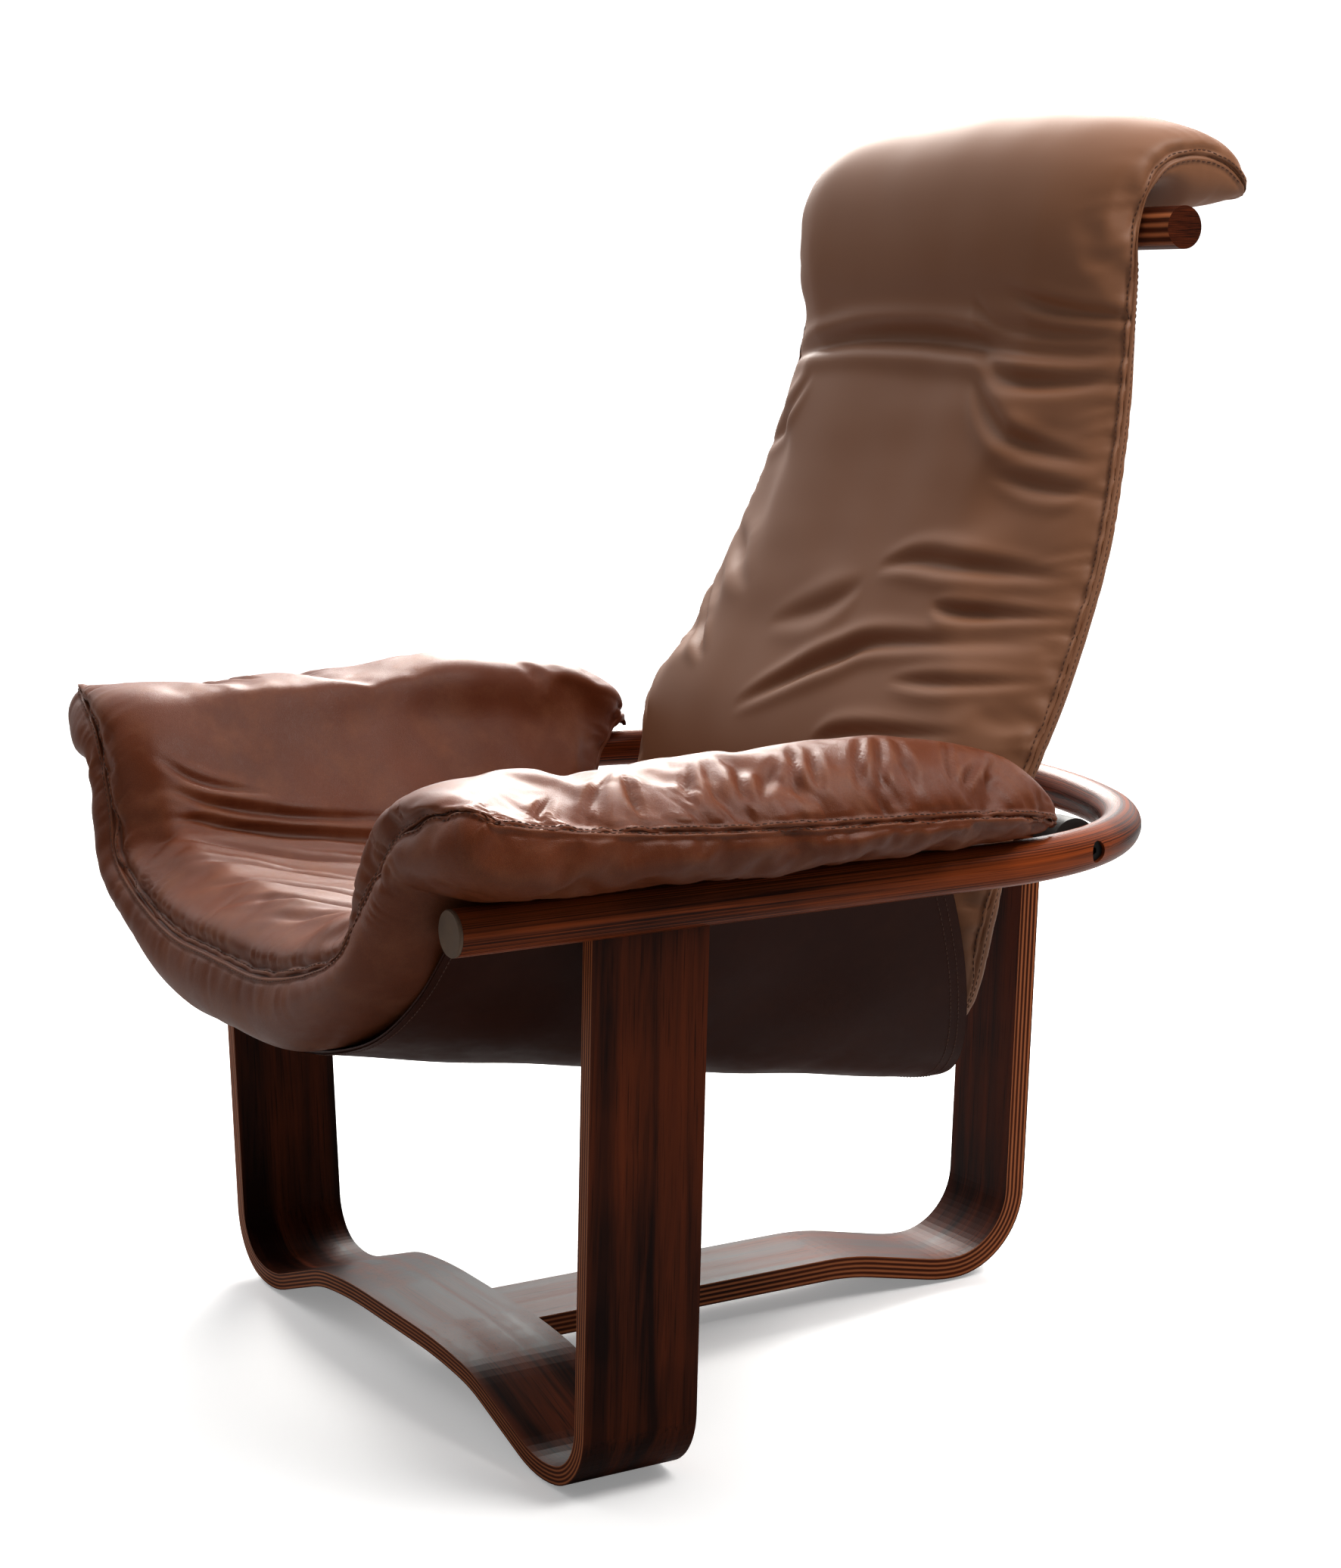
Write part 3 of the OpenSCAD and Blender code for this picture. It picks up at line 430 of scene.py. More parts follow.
def new_mesh(name, points, faces, smooth=True):
    """Object with a mesh of points (n, 3) and faces (m, corners), in the chair's own place."""
    points, faces = np.asarray(points, np.float32), np.asarray(faces, np.int32)
    mesh = bpy.data.meshes.new(name)
    corners = faces.shape[1]
    mesh.vertices.add(len(points))
    mesh.vertices.foreach_set("co", points.ravel())
    mesh.loops.add(faces.size)
    mesh.loops.foreach_set("vertex_index", faces.ravel())
    mesh.polygons.add(len(faces))
    mesh.polygons.foreach_set("loop_start", np.arange(len(faces), dtype=np.int32) * corners)
    mesh.polygons.foreach_set("use_smooth", np.full(len(faces), smooth))
    mesh.update(calc_edges=True)
    mesh.validate()
    made = bpy.data.objects.new(name, mesh)
    bpy.context.scene.collection.objects.link(made)
    return made


def in_place(points):
    """Moves points counted from the front leg's centre into the frame."""
    return points + np.array([0, LEG_Y, 0])


def grid_quads(index, flip=False):
    """Quads of a grid of vertex numbers."""
    quads = np.stack([index[:-1, :-1], index[:-1, 1:], index[1:, 1:], index[1:, :-1]], axis=-1)
    quads = quads.reshape(-1, 4)
    return quads[:, ::-1] if flip else quads


def closed_pair(upper, lower):
    """Points and quads of a closed form from two grids that share their outer edge."""
    rows, cols = upper.shape[:2]
    top = np.arange(rows * cols).reshape(rows, cols)
    under = top.copy()
    own = np.arange((rows - 2) * (cols - 2)).reshape(rows - 2, cols - 2)
    under[1:-1, 1:-1] = rows * cols + own
    points = np.concatenate([upper.reshape(-1, 3), lower[1:-1, 1:-1].reshape(-1, 3)])
    return points, np.concatenate([grid_quads(top), grid_quads(under, flip=True)])


def sheet_with_rim(upper, lower):
    """Points and quads of a sheet with two faces and a rim between them."""
    rows, cols = upper.shape[:2]
    top = np.arange(rows * cols).reshape(rows, cols)
    under = top + rows * cols
    edge_top, edge_under = rim(top), rim(under)
    strip = np.stack([edge_top, np.roll(edge_top, -1), np.roll(edge_under, -1), edge_under],
                     axis=-1)
    points = np.concatenate([upper.reshape(-1, 3), lower.reshape(-1, 3)])
    return points, np.concatenate([grid_quads(top), grid_quads(under, flip=True), strip])


def outer_edge(grid):
    """True on the outer edge of a grid."""
    edge = np.ones(grid.shape[:2], bool)
    edge[1:-1, 1:-1] = False
    return edge


def join_edges(upper, lower):
    """Brings the outer edges of two grids together halfway."""
    edge = outer_edge(upper)
    upper[edge] = lower[edge] = (upper[edge] + lower[edge]) / 2


def rim(grid):
    """The outer edge of a grid as one closed line: down one side, along the end, back up."""
    return np.concatenate([grid[::-1, 0], grid[0, 1:], grid[1:, -1], grid[-1, -2::-1]])


def coarse(count, step):
    """Every step-th index of a grid line, with the last one."""
    picked = list(range(0, count, step))
    return np.array(picked + ([count - 1] if picked[-1] != count - 1 else []))


def spread(values, rows, cols, shape):
    """Values on a coarse grid, taken to every point of the fine one."""
    across = np.stack([sampled(row, cols, np.arange(shape[1])) for row in values])
    full = [sampled(across[:, j], rows, np.arange(shape[0])) for j in range(shape[1])]
    return blurred(np.stack(full, axis=1), 4)


def blurred(grid, times):
    """Grid smoothed between neighbours, with its outer edge kept."""
    out = grid.copy()
    for _ in range(times):
        out[1:-1, 1:-1] = 0.5 * out[1:-1, 1:-1] + 0.125 * (
            out[:-2, 1:-1] + out[2:, 1:-1] + out[1:-1, :-2] + out[1:-1, 2:])
    return out


def stuffed(name, upper, lower, held, pressure, growth, cap, frames=18, step=3):
    """Swells a closed pair of grids as sewn leather over soft filling, and returns both grids.
    Held says how firmly each point of the two grids is kept, from 0 to 1."""
    rows, cols = coarse(upper.shape[0], step), coarse(upper.shape[1], step)
    pick = np.ix_(rows, cols)
    points, quads = closed_pair(upper[pick], lower[pick])
    form = new_mesh(name + "_form", points, quads)
    group = form.vertex_groups.new(name="held")
    pins = np.concatenate([held[0][pick].ravel(), held[1][pick][1:-1, 1:-1].ravel()])
    for i, weight in enumerate(pins):
        if weight > 0.01:
            group.add([i], float(weight), "REPLACE")
    cloth = form.modifiers.new("Cloth", "CLOTH")
    cloth.settings.quality = 5
    cloth.settings.mass = 0.35
    cloth.settings.tension_stiffness = cloth.settings.compression_stiffness = 18
    cloth.settings.bending_stiffness = 0.6
    cloth.settings.shrink_min = -growth
    cloth.settings.vertex_group_mass = "held"
    cloth.settings.use_pressure = True
    cloth.settings.uniform_pressure_force = pressure
    cloth.settings.effector_weights.gravity = 0
    scene = bpy.context.scene
    for f in range(1, frames + 1):
        scene.frame_set(f)
    shaped = form.evaluated_get(bpy.context.evaluated_depsgraph_get()).to_mesh()
    moved = np.empty(len(points) * 3, np.float32)
    shaped.vertices.foreach_get("co", moved)
    shift = moved.reshape(-1, 3) - points
    far = np.linalg.norm(shift, axis=1, keepdims=True)
    shift *= np.minimum(1, cap / np.maximum(far, 1e-9))
    scene.frame_set(1)
    bpy.data.objects.remove(form)
    n, m = len(rows), len(cols)
    over = shift[:n * m].reshape(n, m, 3)
    under = over.copy()
    under[1:-1, 1:-1] = shift[n * m:].reshape(n - 2, m - 2, 3)
    shape = upper.shape[:2]
    return upper + spread(over, rows, cols, shape), lower + spread(under, rows, cols, shape)


def stitches(name, line, normals, settings, body, material):
    """Row of separate stitches along a dense line, each a thin round bar that dips at its ends."""
    along = lengths_along(line)
    pitch = settings.length + settings.gap
    starts = np.arange(pitch / 2, along[-1] - pitch, pitch)
    sides, cuts = 6, np.array([0.0, 0.12, 0.35, 0.65, 0.88, 1.0])
    girth = np.array([0.25, 0.8, 1.0, 1.0, 0.8, 0.25]) * settings.thread / 2
    lift = np.array([-0.6, 0.1, 0.5, 0.5, 0.1, -0.6]) * settings.thread / 2
    at = starts[:, None] + cuts[None, :] * settings.length
    centre, up = sampled(line, along, at), sampled(normals, along, at)
    up /= np.maximum(np.linalg.norm(up, axis=-1, keepdims=True), 1e-9)
    ahead = np.gradient(centre, axis=1)
    ahead /= np.maximum(np.linalg.norm(ahead, axis=-1, keepdims=True), 1e-9)
    side = np.cross(ahead, up)
    centre = centre + up * lift[None, :, None]
    turn = np.arange(sides) * 2 * math.pi / sides
    ring = (side[:, :, None] * np.cos(turn)[None, None, :, None]
            + up[:, :, None] * np.sin(turn)[None, None, :, None]) * girth[None, :, None, None]
    points = (centre[:, :, None] + ring).reshape(-1, 3)
    one = []
    for c in range(len(cuts) - 1):
        for s in range(sides):
            e = (s + 1) % sides
            one.append([c * sides + s, c * sides + e, (c + 1) * sides + e, (c + 1) * sides + s])
    count = len(cuts) * sides
    faces = (np.arange(len(starts)) * count)[:, None, None] + np.array(one)[None]
    made = new_mesh(name, points, faces.reshape(-1, 4))
    finish_piece(made, material, body)
    return made


def finish_piece(piece, material, body):
    """Gives a made piece its material and sets it on its body."""
    piece.data.materials.append(material)
    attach(piece, body)


# ---- material building blocks ------------------------------------------------------------------


class Graph:
    """Small helper that adds and links shader nodes."""

    def __init__(self, name):
        self.material = bpy.data.materials.new(name)
        self.material.use_nodes = True
        self.tree = self.material.node_tree
        self.shader = self.tree.nodes["Principled BSDF"]

    def add(self, kind, inputs=None, **settings):
        node = self.tree.nodes.new("ShaderNode" + kind)
        for key, value in settings.items():
            setattr(node, key, value)
        for key, value in (inputs or {}).items():
            self.put(node.inputs[key], value)
        return node

    def put(self, socket, value):
        if isinstance(value, bpy.types.NodeSocket):
            self.tree.links.new(value, socket)
        elif socket.type == "RGBA" and len(value) == 3:
            socket.default_value = (*value, 1)
        else:
            socket.default_value = value

    def math(self, operation, a, b=0.0, clamp=False):
        node = self.add("Math", {0: a, 1: b}, operation=operation, use_clamp=clamp)
        return node.outputs[0]

    def blend(self, share, a, b):
        node = self.add("Mix", data_type="RGBA")
        self.put(node.inputs[0], share)
        self.put(node.inputs[6], a)
        self.put(node.inputs[7], b)
        return node.outputs[2]

    def ramp(self, value, low, high, out_low=0.0, out_high=1.0):
        node = self.add("MapRange", {0: value, 1: low, 2: high, 3: out_low, 4: out_high})
        return node.outputs[0]

    def noise(self, vector, scale, detail=3.0, rough=0.5, distortion=0.0):
        node = self.add("TexNoise", {
            "Vector": vector, "Scale": scale, "Detail": detail, "Roughness": rough,
            "Distortion": distortion})
        return node.outputs["Fac"]

    def bump(self, height, strength, distance, under=None):
        node = self.add("Bump", {"Height": height, "Strength": strength, "Distance": distance})
        if under is not None:
            self.put(node.inputs["Normal"], under)
        return node.outputs["Normal"]

    def object_place(self):
        return self.add("TexCoord").outputs["Object"]

    def stored(self, name):
        return self.add("Attribute", attribute_name=name).outputs["Fac"]

    def combine(self, x, y, z):
        return self.add("CombineXYZ", {0: x, 1: y, 2: z}).outputs[0]

    def set(self, **values):
        names = {
            "colour": "Base Color", "rough": "Roughness", "metal": "Metallic", "normal": "Normal",
            "specular": "Specular IOR Level", "sheen": "Sheen Weight",
            "sheen_rough": "Sheen Roughness"}
        for key, value in values.items():
            self.put(self.shader.inputs[names[key]], value)
        return self.material


def leather(name, colour, worn, dark, grain, gloss=0.42, wear=1.0, depth=1.0, shine=0.3):
    """Grained leather: pebbles, fine pores, cloudy colour, rubbed ridges, and painted shade in the
    creases and in the grain's crevices.
    """
    g = Graph(name)
    at = g.object_place()
    warp = g.add("TexNoise", {"Vector": at, "Scale": 0.16 / grain, "Detail": 2.0})
    swap = g.add("VectorMath", {0: warp.outputs["Color"], 1: (grain,) * 3, 2: at},
                 operation="MULTIPLY_ADD").outputs[0]
    pebble = g.add("TexVoronoi", {"Vector": swap, "Scale": 1 / grain, "Randomness": 1.0},
                   feature="DISTANCE_TO_EDGE").outputs["Distance"]
    pebbles = g.ramp(pebble, 0.0, 0.28)
    clouds = g.noise(at, 7.0, 4.0, 0.6)
    blotch = g.noise(at, 26.0, 4.0, 0.62)
    fine = g.noise(at, 0.55 / grain, 2.0, 0.6)
    ridge = g.add("NewGeometry").outputs["Pointiness"]
    high = g.ramp(ridge, 0.515, 0.60)
    # Hollows of the surface, where the crease colour paints shade
    low = g.ramp(ridge, 0.485, 0.39)
    base = g.blend(g.ramp(clouds, 0.35, 0.7), colour, [0.78 * c for c in colour])
    rubbed = g.math("MULTIPLY", g.ramp(blotch, 0.48, 0.75), 0.30 * wear)
    base = g.blend(rubbed, base, worn)
    base = g.blend(g.math("MULTIPLY", high, 0.55 * wear), base, worn)
    # Painted shade: the crease colour darkens the surface's hollows
    base = g.blend(g.math("MULTIPLY", low, 0.75), base, dark)
    # Painted shade: the crease colour darkens the grain's crevices between the pebbles
    base = g.blend(g.math("MULTIPLY", g.ramp(pebbles, 1.0, 0.0), 0.28), base, dark)
    rough = g.math("ADD", g.ramp(blotch, 0.3, 0.75, gloss - 0.06, gloss + 0.1),
                   g.math("MULTIPLY", pebbles, -0.05))
    normal = g.bump(pebbles, 0.22 * depth, 0.00035)
    normal = g.bump(fine, 0.18 * depth, 0.0004, normal)
    return g.set(colour=base, rough=rough, normal=normal, specular=shine)


def wood(name, light, dark, ply=None, plies=9, gloss=0.38):
    """Stained lacquered wood, grained along the piece, with plies showing on a band's edges."""
    g = Graph(name)
    along, depth, across = g.stored("along"), g.stored("depth"), g.stored("across")
    grain_at = g.combine(g.math("MULTIPLY", along, 2.2), g.math("MULTIPLY", across, 42.0),
                         g.math("MULTIPLY", depth, 30.0))
    bent = g.noise(grain_at, 1.0, 5.0, 0.6, 0.6)
    pore_at = g.combine(g.math("MULTIPLY", along, 14.0), g.math("MULTIPLY", across, 520.0),
                        g.math("MULTIPLY", depth, 420.0))
    pores = g.noise(pore_at, 1.0, 2.0, 0.5)
    cloud = g.noise(g.object_place(), 5.0, 3.0, 0.5)
    tone = g.math("ADD", g.ramp(bent, 0.34, 0.68), g.ramp(cloud, 0.35, 0.7, -0.28, 0.28),
                  clamp=True)
    colour = g.blend(tone, dark, light)
    colour = g.blend(g.math("MULTIPLY", g.ramp(pores, 0.56, 0.72), 0.7), colour,
                     [0.45 * c for c in dark])
    normal = g.bump(pores, 0.10, 0.0004)
    if ply is not None:
        edge = g.stored("edge_face")
        phase = g.math("MULTIPLY", g.math("ADD", depth, 1.0), plies / 2)
        layer = g.math("PINGPONG", phase, 1.0)
        streak_at = g.combine(g.math("MULTIPLY", along, 9.0), g.math("FLOOR", phase), 0.0)
        streak = g.noise(streak_at, 1.0, 3.0, 0.7)
        line = g.ramp(g.math("ADD", layer, g.math("MULTIPLY", streak, 0.5)), 0.55, 1.1)
        edge_colour = g.blend(line, colour, ply)
        colour = g.blend(g.ramp(edge, 0.5, 0.8), colour, edge_colour)
    rough = g.ramp(bent, 0.3, 0.7, gloss - 0.04, gloss + 0.1)
    return g.set(colour=colour, rough=rough, normal=normal, specular=0.10)


def plain(name, colour, rough, metal=0.0, speckle=600.0, bump=0.12, stretch=(1, 1, 1)):
    """Plastic or metal with fine texture, uneven gloss and slightly uneven colour."""
    g = Graph(name)
    at = g.add("VectorMath", {0: g.object_place(), 1: stretch}, operation="MULTIPLY").outputs[0]
    fine = g.noise(at, speckle, 3.0, 0.6)
    cloud = g.noise(at, 45.0, 3.0, 0.6)
    shade = g.blend(g.ramp(cloud, 0.35, 0.7), [0.75 * c for c in colour],
                    [1.15 * c for c in colour])
    ridge = g.add("NewGeometry").outputs["Pointiness"]
    shade = g.blend(g.ramp(ridge, 0.53, 0.62, 0.0, 0.35), shade,
                    [min(1, 2.2 * c + 0.03) for c in colour])
    gloss = g.ramp(cloud, 0.3, 0.7, rough - 0.07, rough + 0.09)
    return g.set(colour=shade, rough=gloss, metal=metal, normal=g.bump(fine, bump, 0.0004))


def woven(name, colour):
    """Elastic webbing: a tight weave with raised ribs along the strap."""
    g = Graph(name)
    at = g.object_place()
    ribs = g.add("TexWave", {"Vector": at, "Scale": 130.0, "Distortion": 0.6, "Detail": 1.0},
                 wave_type="BANDS", bands_direction="Z").outputs["Fac"]
    picks = g.add("TexWave", {"Vector": at, "Scale": 210.0, "Distortion": 0.4, "Detail": 1.0},
                  wave_type="BANDS", bands_direction="X").outputs["Fac"]
    weave = g.math("MULTIPLY", ribs, picks)
    fuzz = g.noise(at, 900.0, 2.0, 0.6)
    shade = g.blend(weave, [0.45 * c for c in colour], [1.5 * c for c in colour])
    return g.set(colour=shade, rough=g.ramp(fuzz, 0.3, 0.7, 0.75, 0.95),
                 normal=g.bump(weave, 0.6, 0.0006), sheen=0.3, sheen_rough=0.5)


# ---- wooden parts ------------------------------------------------------------------------------

# A path is walked from a start and a heading in degrees through lines and arcs, as
# ("line", length) or ("arc", radius, turn), a positive turn bending to the left.
PATH_STEP = 3                            # degrees between the points of an arc


def sine(degrees):
    return math.sin(math.radians(degrees))


def cosine(degrees):
    return math.cos(math.radians(degrees))


def walk(start, heading, pieces):
    """Points of a path."""
    points, at = [np.array(start, float)], np.array(start, float)
    for kind, size, *turn in pieces:
        if kind == "line":
            at = at + size * np.array([cosine(heading), sine(heading)])
            points.append(at)
            continue
        side = 1 if turn[0] > 0 else -1
        centre = at + side * size * np.array([-sine(heading), cosine(heading)])
        steps = max(2, math.ceil(abs(turn[0]) / PATH_STEP))
        for i in range(1, steps + 1):
            a = heading + turn[0] * i / steps
            points.append(centre + side * size * np.array([sine(a), -cosine(a)]))
        at, heading = points[-1], heading + turn[0]
    return np.array(points)


def nearest_on(line, points):
    """For each point in a plane: how far along the line it is nearest, and its signed distance."""
    along = lengths_along(line)
    best, s, side = np.full(len(points), 1e9), np.zeros(len(points)), np.zeros(len(points))
    for i in range(len(line) - 1):
        v = line[i + 1] - line[i]
        long = np.linalg.norm(v)
        f = np.clip(((points - line[i]) @ v) / long ** 2, 0, 1)
        off = points - line[i] - f[:, None] * v
        d = np.linalg.norm(off, axis=1)
        closer = d < best
        best = np.where(closer, d, best)
        s = np.where(closer, along[i] + f * long, s)
        side = np.where(closer, (v[0] * off[:, 1] - v[1] * off[:, 0]) / long, side)
    return s, side


def grain_places(node, line, plane, across, half_thick):
    """Stores on a wooden part where each of its points is along, across and through the wood."""
    mesh = frame["nodes"][node].data
    points = np.empty(len(mesh.vertices) * 3, np.float32)
    mesh.vertices.foreach_get("co", points)
    points = points.reshape(-1, 3)
    s, side = nearest_on(line, points[:, plane])
    values = {"along": s, "depth": side / half_thick, "across": points[:, across]}
    for name, value in values.items():
        stored = mesh.attributes.new(name, "FLOAT", "POINT")
        stored.data.foreach_set("value", value.astype(np.float32))
    normals = np.empty(len(mesh.polygons) * 3, np.float32)
    mesh.polygons.foreach_get("normal", normals)
    stored = mesh.attributes.new("edge_face", "FLOAT", "FACE")
    stored.data.foreach_set("value", np.abs(normals.reshape(-1, 3)[:, across]))


def dress_node(node, material):
    """Gives a CAD part its finish."""
    mesh = frame["nodes"][node].data
    mesh.materials.clear()
    mesh.materials.append(material)


def sanded(node, radius, angle=40):
    """Sands the sharp edges of a CAD part round."""
    soft = frame["nodes"][node].modifiers.new("Sanded", "BEVEL")
    soft.width = radius
    soft.segments = 3
    soft.limit_method = "ANGLE"
    soft.angle_limit = math.radians(angle)
    soft.harden_normals = True


def front_leg_line():
    """Centre line of the front band in the XZ plane, from the left upright round to the right."""
    flare, lift, slope = 3.6, 12.0, 18.5     # upright's lean out, rise past the foot, arch's slope
    foot, bend, crown_half = 0.1125, 0.0525, 0.05
    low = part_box("front_leg")[0].z + FRONT_BAND_HALF
    # The crown eases into each slope in two arcs
    gentle_r, gentle, shoulder_r = 0.7, 7.0, 0.18
    run = gentle_r * sine(gentle) + shoulder_r * (sine(slope) - sine(gentle))
    drop = gentle_r * (1 - cosine(gentle)) + shoulder_r * (cosine(gentle) - cosine(slope))
    up_from = low + foot * (1 - cosine(lift)) + bend * (cosine(lift) - cosine(90 - flare))
    upright = (HOOP_Z - up_from) / cosine(flare)
    slope_run = (RAIL_X - crown_half - run - foot * (sine(slope) + sine(lift))
                 - bend * (sine(90 - flare) - sine(lift)) - upright * sine(flare))
    slope_len = slope_run / cosine(slope)
    crown = low + foot * (1 - cosine(slope)) + slope_len * sine(slope) + drop
    half_line = walk((0, crown), 0, [
        ("line", crown_half), ("arc", gentle_r, -gentle), ("arc", shoulder_r, gentle - slope),
        ("line", slope_len), ("arc", foot, slope + lift), ("arc", bend, 90 - flare - lift),
        ("line", upright)])
    return np.concatenate([half_line[:0:-1] * [-1, 1], half_line])


def rear_leg_line():
    """Centre line of the rear band in the YZ plane, from under the crown to the hoop."""
    lean, slope = 2.9, 12.0
    shoulder, foot, bend = 0.25, 0.14, 0.07
    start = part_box("rear_leg")[0]
    low = start.z + REAR_BAND_HALF
    front = front_leg_line()
    top = front[len(front) // 2, 1] - FRONT_BAND_HALF - REAR_BAND_HALF
    turn = 90 - lean
    upright = (HOOP_Z - low - bend * (1 - cosine(turn))) / cosine(lean)
    fall = top - low - (shoulder + foot) * (1 - cosine(slope))
    slope_len = fall / sine(slope)
    flat = (HOOP_END + LEG_Y - start.y - (shoulder + foot) * sine(slope)
            - slope_len * cosine(slope) - bend * sine(turn) - upright * sine(lean))
    return walk((start.y, top), 0, [
        ("line", flat), ("arc", shoulder, -slope), ("line", slope_len), ("arc", foot, slope),
        ("arc", bend, turn), ("line", upright)])


def hoop_line():
    """Centre line of the arm hoop in the XY plane, from the right rail's end to the left's."""
    rear_turn = 90 - CORNER_TURN
    rear_r = (RAIL_X - CORNER_R + CORNER_R * cosine(CORNER_TURN)) / sine(rear_turn)
    rail = (HOOP_END - rear_r * (1 - cosine(rear_turn)) - CORNER_R * sine(CORNER_TURN)
            + LEG_Y - HOOP_LOW.y)
    corner = ("arc", CORNER_R, CORNER_TURN)
    return walk((RAIL_X, HOOP_LOW.y), 90, [
        ("line", rail), corner, ("arc", rear_r, 2 * rear_turn), corner, ("line", rail)])


class ARMCHAIR_OT_bands(bpy.types.Operator):
    """Stains the laminated bands of the two legs and the back ribs"""

    bl_idname = "armchair.bands"
    bl_label = "Laminated bands"

    def execute(self, context):
        s = context.scene.armchair_wood
        stain = wood("stained_band", s.light, s.dark, s.ply, s.plies)
        low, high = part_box("back_rib_right")
        rib = np.array([[PIVOT_Y + LEG_Y + 0.019, low.z], [PIVOT_Y + LEG_Y + 0.110, 0.72],
                        [high.y - 0.003, high.z]])
        grain_places("front_leg", front_leg_line(), [0, 2], 1, FRONT_BAND_HALF)
        grain_places("rear_leg", rear_leg_line(), [1, 2], 0, REAR_BAND_HALF)
        for node in ("back_rib_left", "back_rib_right"):
            grain_places(node, rib, [1, 2], 0, RIB_HALF)
        for node in ("front_leg", "rear_leg", "back_rib_left", "back_rib_right"):
            dress_node(node, stain)
            sanded(node, s.edge_round)
        return {"FINISHED"}


class ARMCHAIR_OT_rods(bpy.types.Operator):
    """Finishes the arm hoop with its end caps and the two crossbars"""

    bl_idname = "armchair.rods"
    bl_label = "Hoop and crossbars"

    def execute(self, context):
        s = context.scene.armchair_wood
        hoop = wood("stained_rod", s.rod, [2.2 * c for c in s.dark], gloss=0.26)
        bars = bpy.data.materials["stained_band"]
        grain_places("arm_hoop", hoop_line(), [0, 1], 2, ROD_R)
        dress_node("arm_hoop", hoop)
        sanded("arm_hoop", 0.001)
        for node in ("lower_crossbar", "head_crossbar"):
            height = middle(node).z
            grain_places(node, np.array([[-1.0, height], [1.0, height]]), [0, 2], 1, ROD_R)
            dress_node(node, bars)
            sanded(node, 0.001)
        cap = plain("end_cap", (0.15, 0.095, 0.06), 0.55, speckle=300, bump=0.2)
        for node in ("hoop_end_cap_left", "hoop_end_cap_right"):
            dress_node(node, cap)
            sanded(node, 0.0008)
        return {"FINISHED"}


class ARMCHAIR_OT_fittings(bpy.types.Operator):
    """Finishes the bolts, screws, hem rods, clips, spacers, glides and back straps"""

    bl_idname = "armchair.fittings"
    bl_label = "Fittings"

    def execute(self, context):
        black = plain("black_oxide", (0.022, 0.021, 0.02), 0.42, metal=0.8, speckle=1200)
        zinc = plain("zinc_plate", (0.42, 0.41, 0.39), 0.36, metal=1.0, speckle=500,
                     stretch=(1, 0.06, 1))
        plastic = plain("black_plastic", (0.018, 0.017, 0.016), 0.5, speckle=900, bump=0.25)
        finishes = {
            black: ["leg_joint_bolts", "hem_clips_left", "hem_clips_right", "pivot_bolt_left",
                    "pivot_bolt_right", "rib_bolts"],
            zinc: ["leg_joint_inserts", "front_leg_screws", "rear_leg_screws", "hem_rod_left",
                   "hem_rod_right"],
            plastic: ["floor_glides", "pivot_spacer_left", "pivot_spacer_right"]}
        for material, nodes in finishes.items():
            for node in nodes:
                dress_node(node, material)
        for node in ("pivot_bolt_left", "pivot_bolt_right", "rib_bolts", "leg_joint_bolts",
                     "floor_glides", "hem_clips_left", "hem_clips_right"):
            sanded(node, 0.0005)
        dress_node("back_straps", woven("back_webbing", (0.03, 0.027, 0.025)))
        return {"FINISHED"}


# ---- sling -------------------------------------------------------------------------------------


def sling_along(y):
    """How far back on the sling, from 0 at its front to 1 over its span."""
    return np.clip((y - SLING_FRONT) / SLING_SPAN, 0, 1.2)


def sling_floor(y):
    """Height of the sling's lowest line."""
    return HOOP_Z - SLING_DROP_FRONT - (SLING_DROP_REAR - SLING_DROP_FRONT) * sling_along(y)


HEM_R = HEM_ROD_R + HEM_GAP + SLING_HALF


def sling_height(x, y):
    """Height of the sling's middle surface: flat in the middle, steep at its sides."""
    low = sling_floor(y)
    bow = 2.5 + 2.0 * sling_along(y)
    return low + (HEM_Z - HEM_R - low) * np.minimum(np.abs(x) / HEM_X, 1) ** bow


def sling_end(x):
    """Where the sling ends behind: further forward at its hems."""
    f = np.minimum(np.abs(x) / HEM_X, 1)
    return SLING_FLOOR_END - (SLING_FLOOR_END - SLING_SIDE_END) * f ** 5


def sling_section(turns=14, columns=56):
    """X of each column across the sling and the turn, in degrees, of its hem round the rod."""
    f = 1 - (1 - np.linspace(0, 1, columns + 1)) ** 1.6
    half = [(HEM_X * v, 0.0) for v in f]
    half += [(HEM_X, 270.0 * k / turns) for k in range(1, turns + 1)]
    return [(-x, a) for x, a in reversed(half[1:])] + half


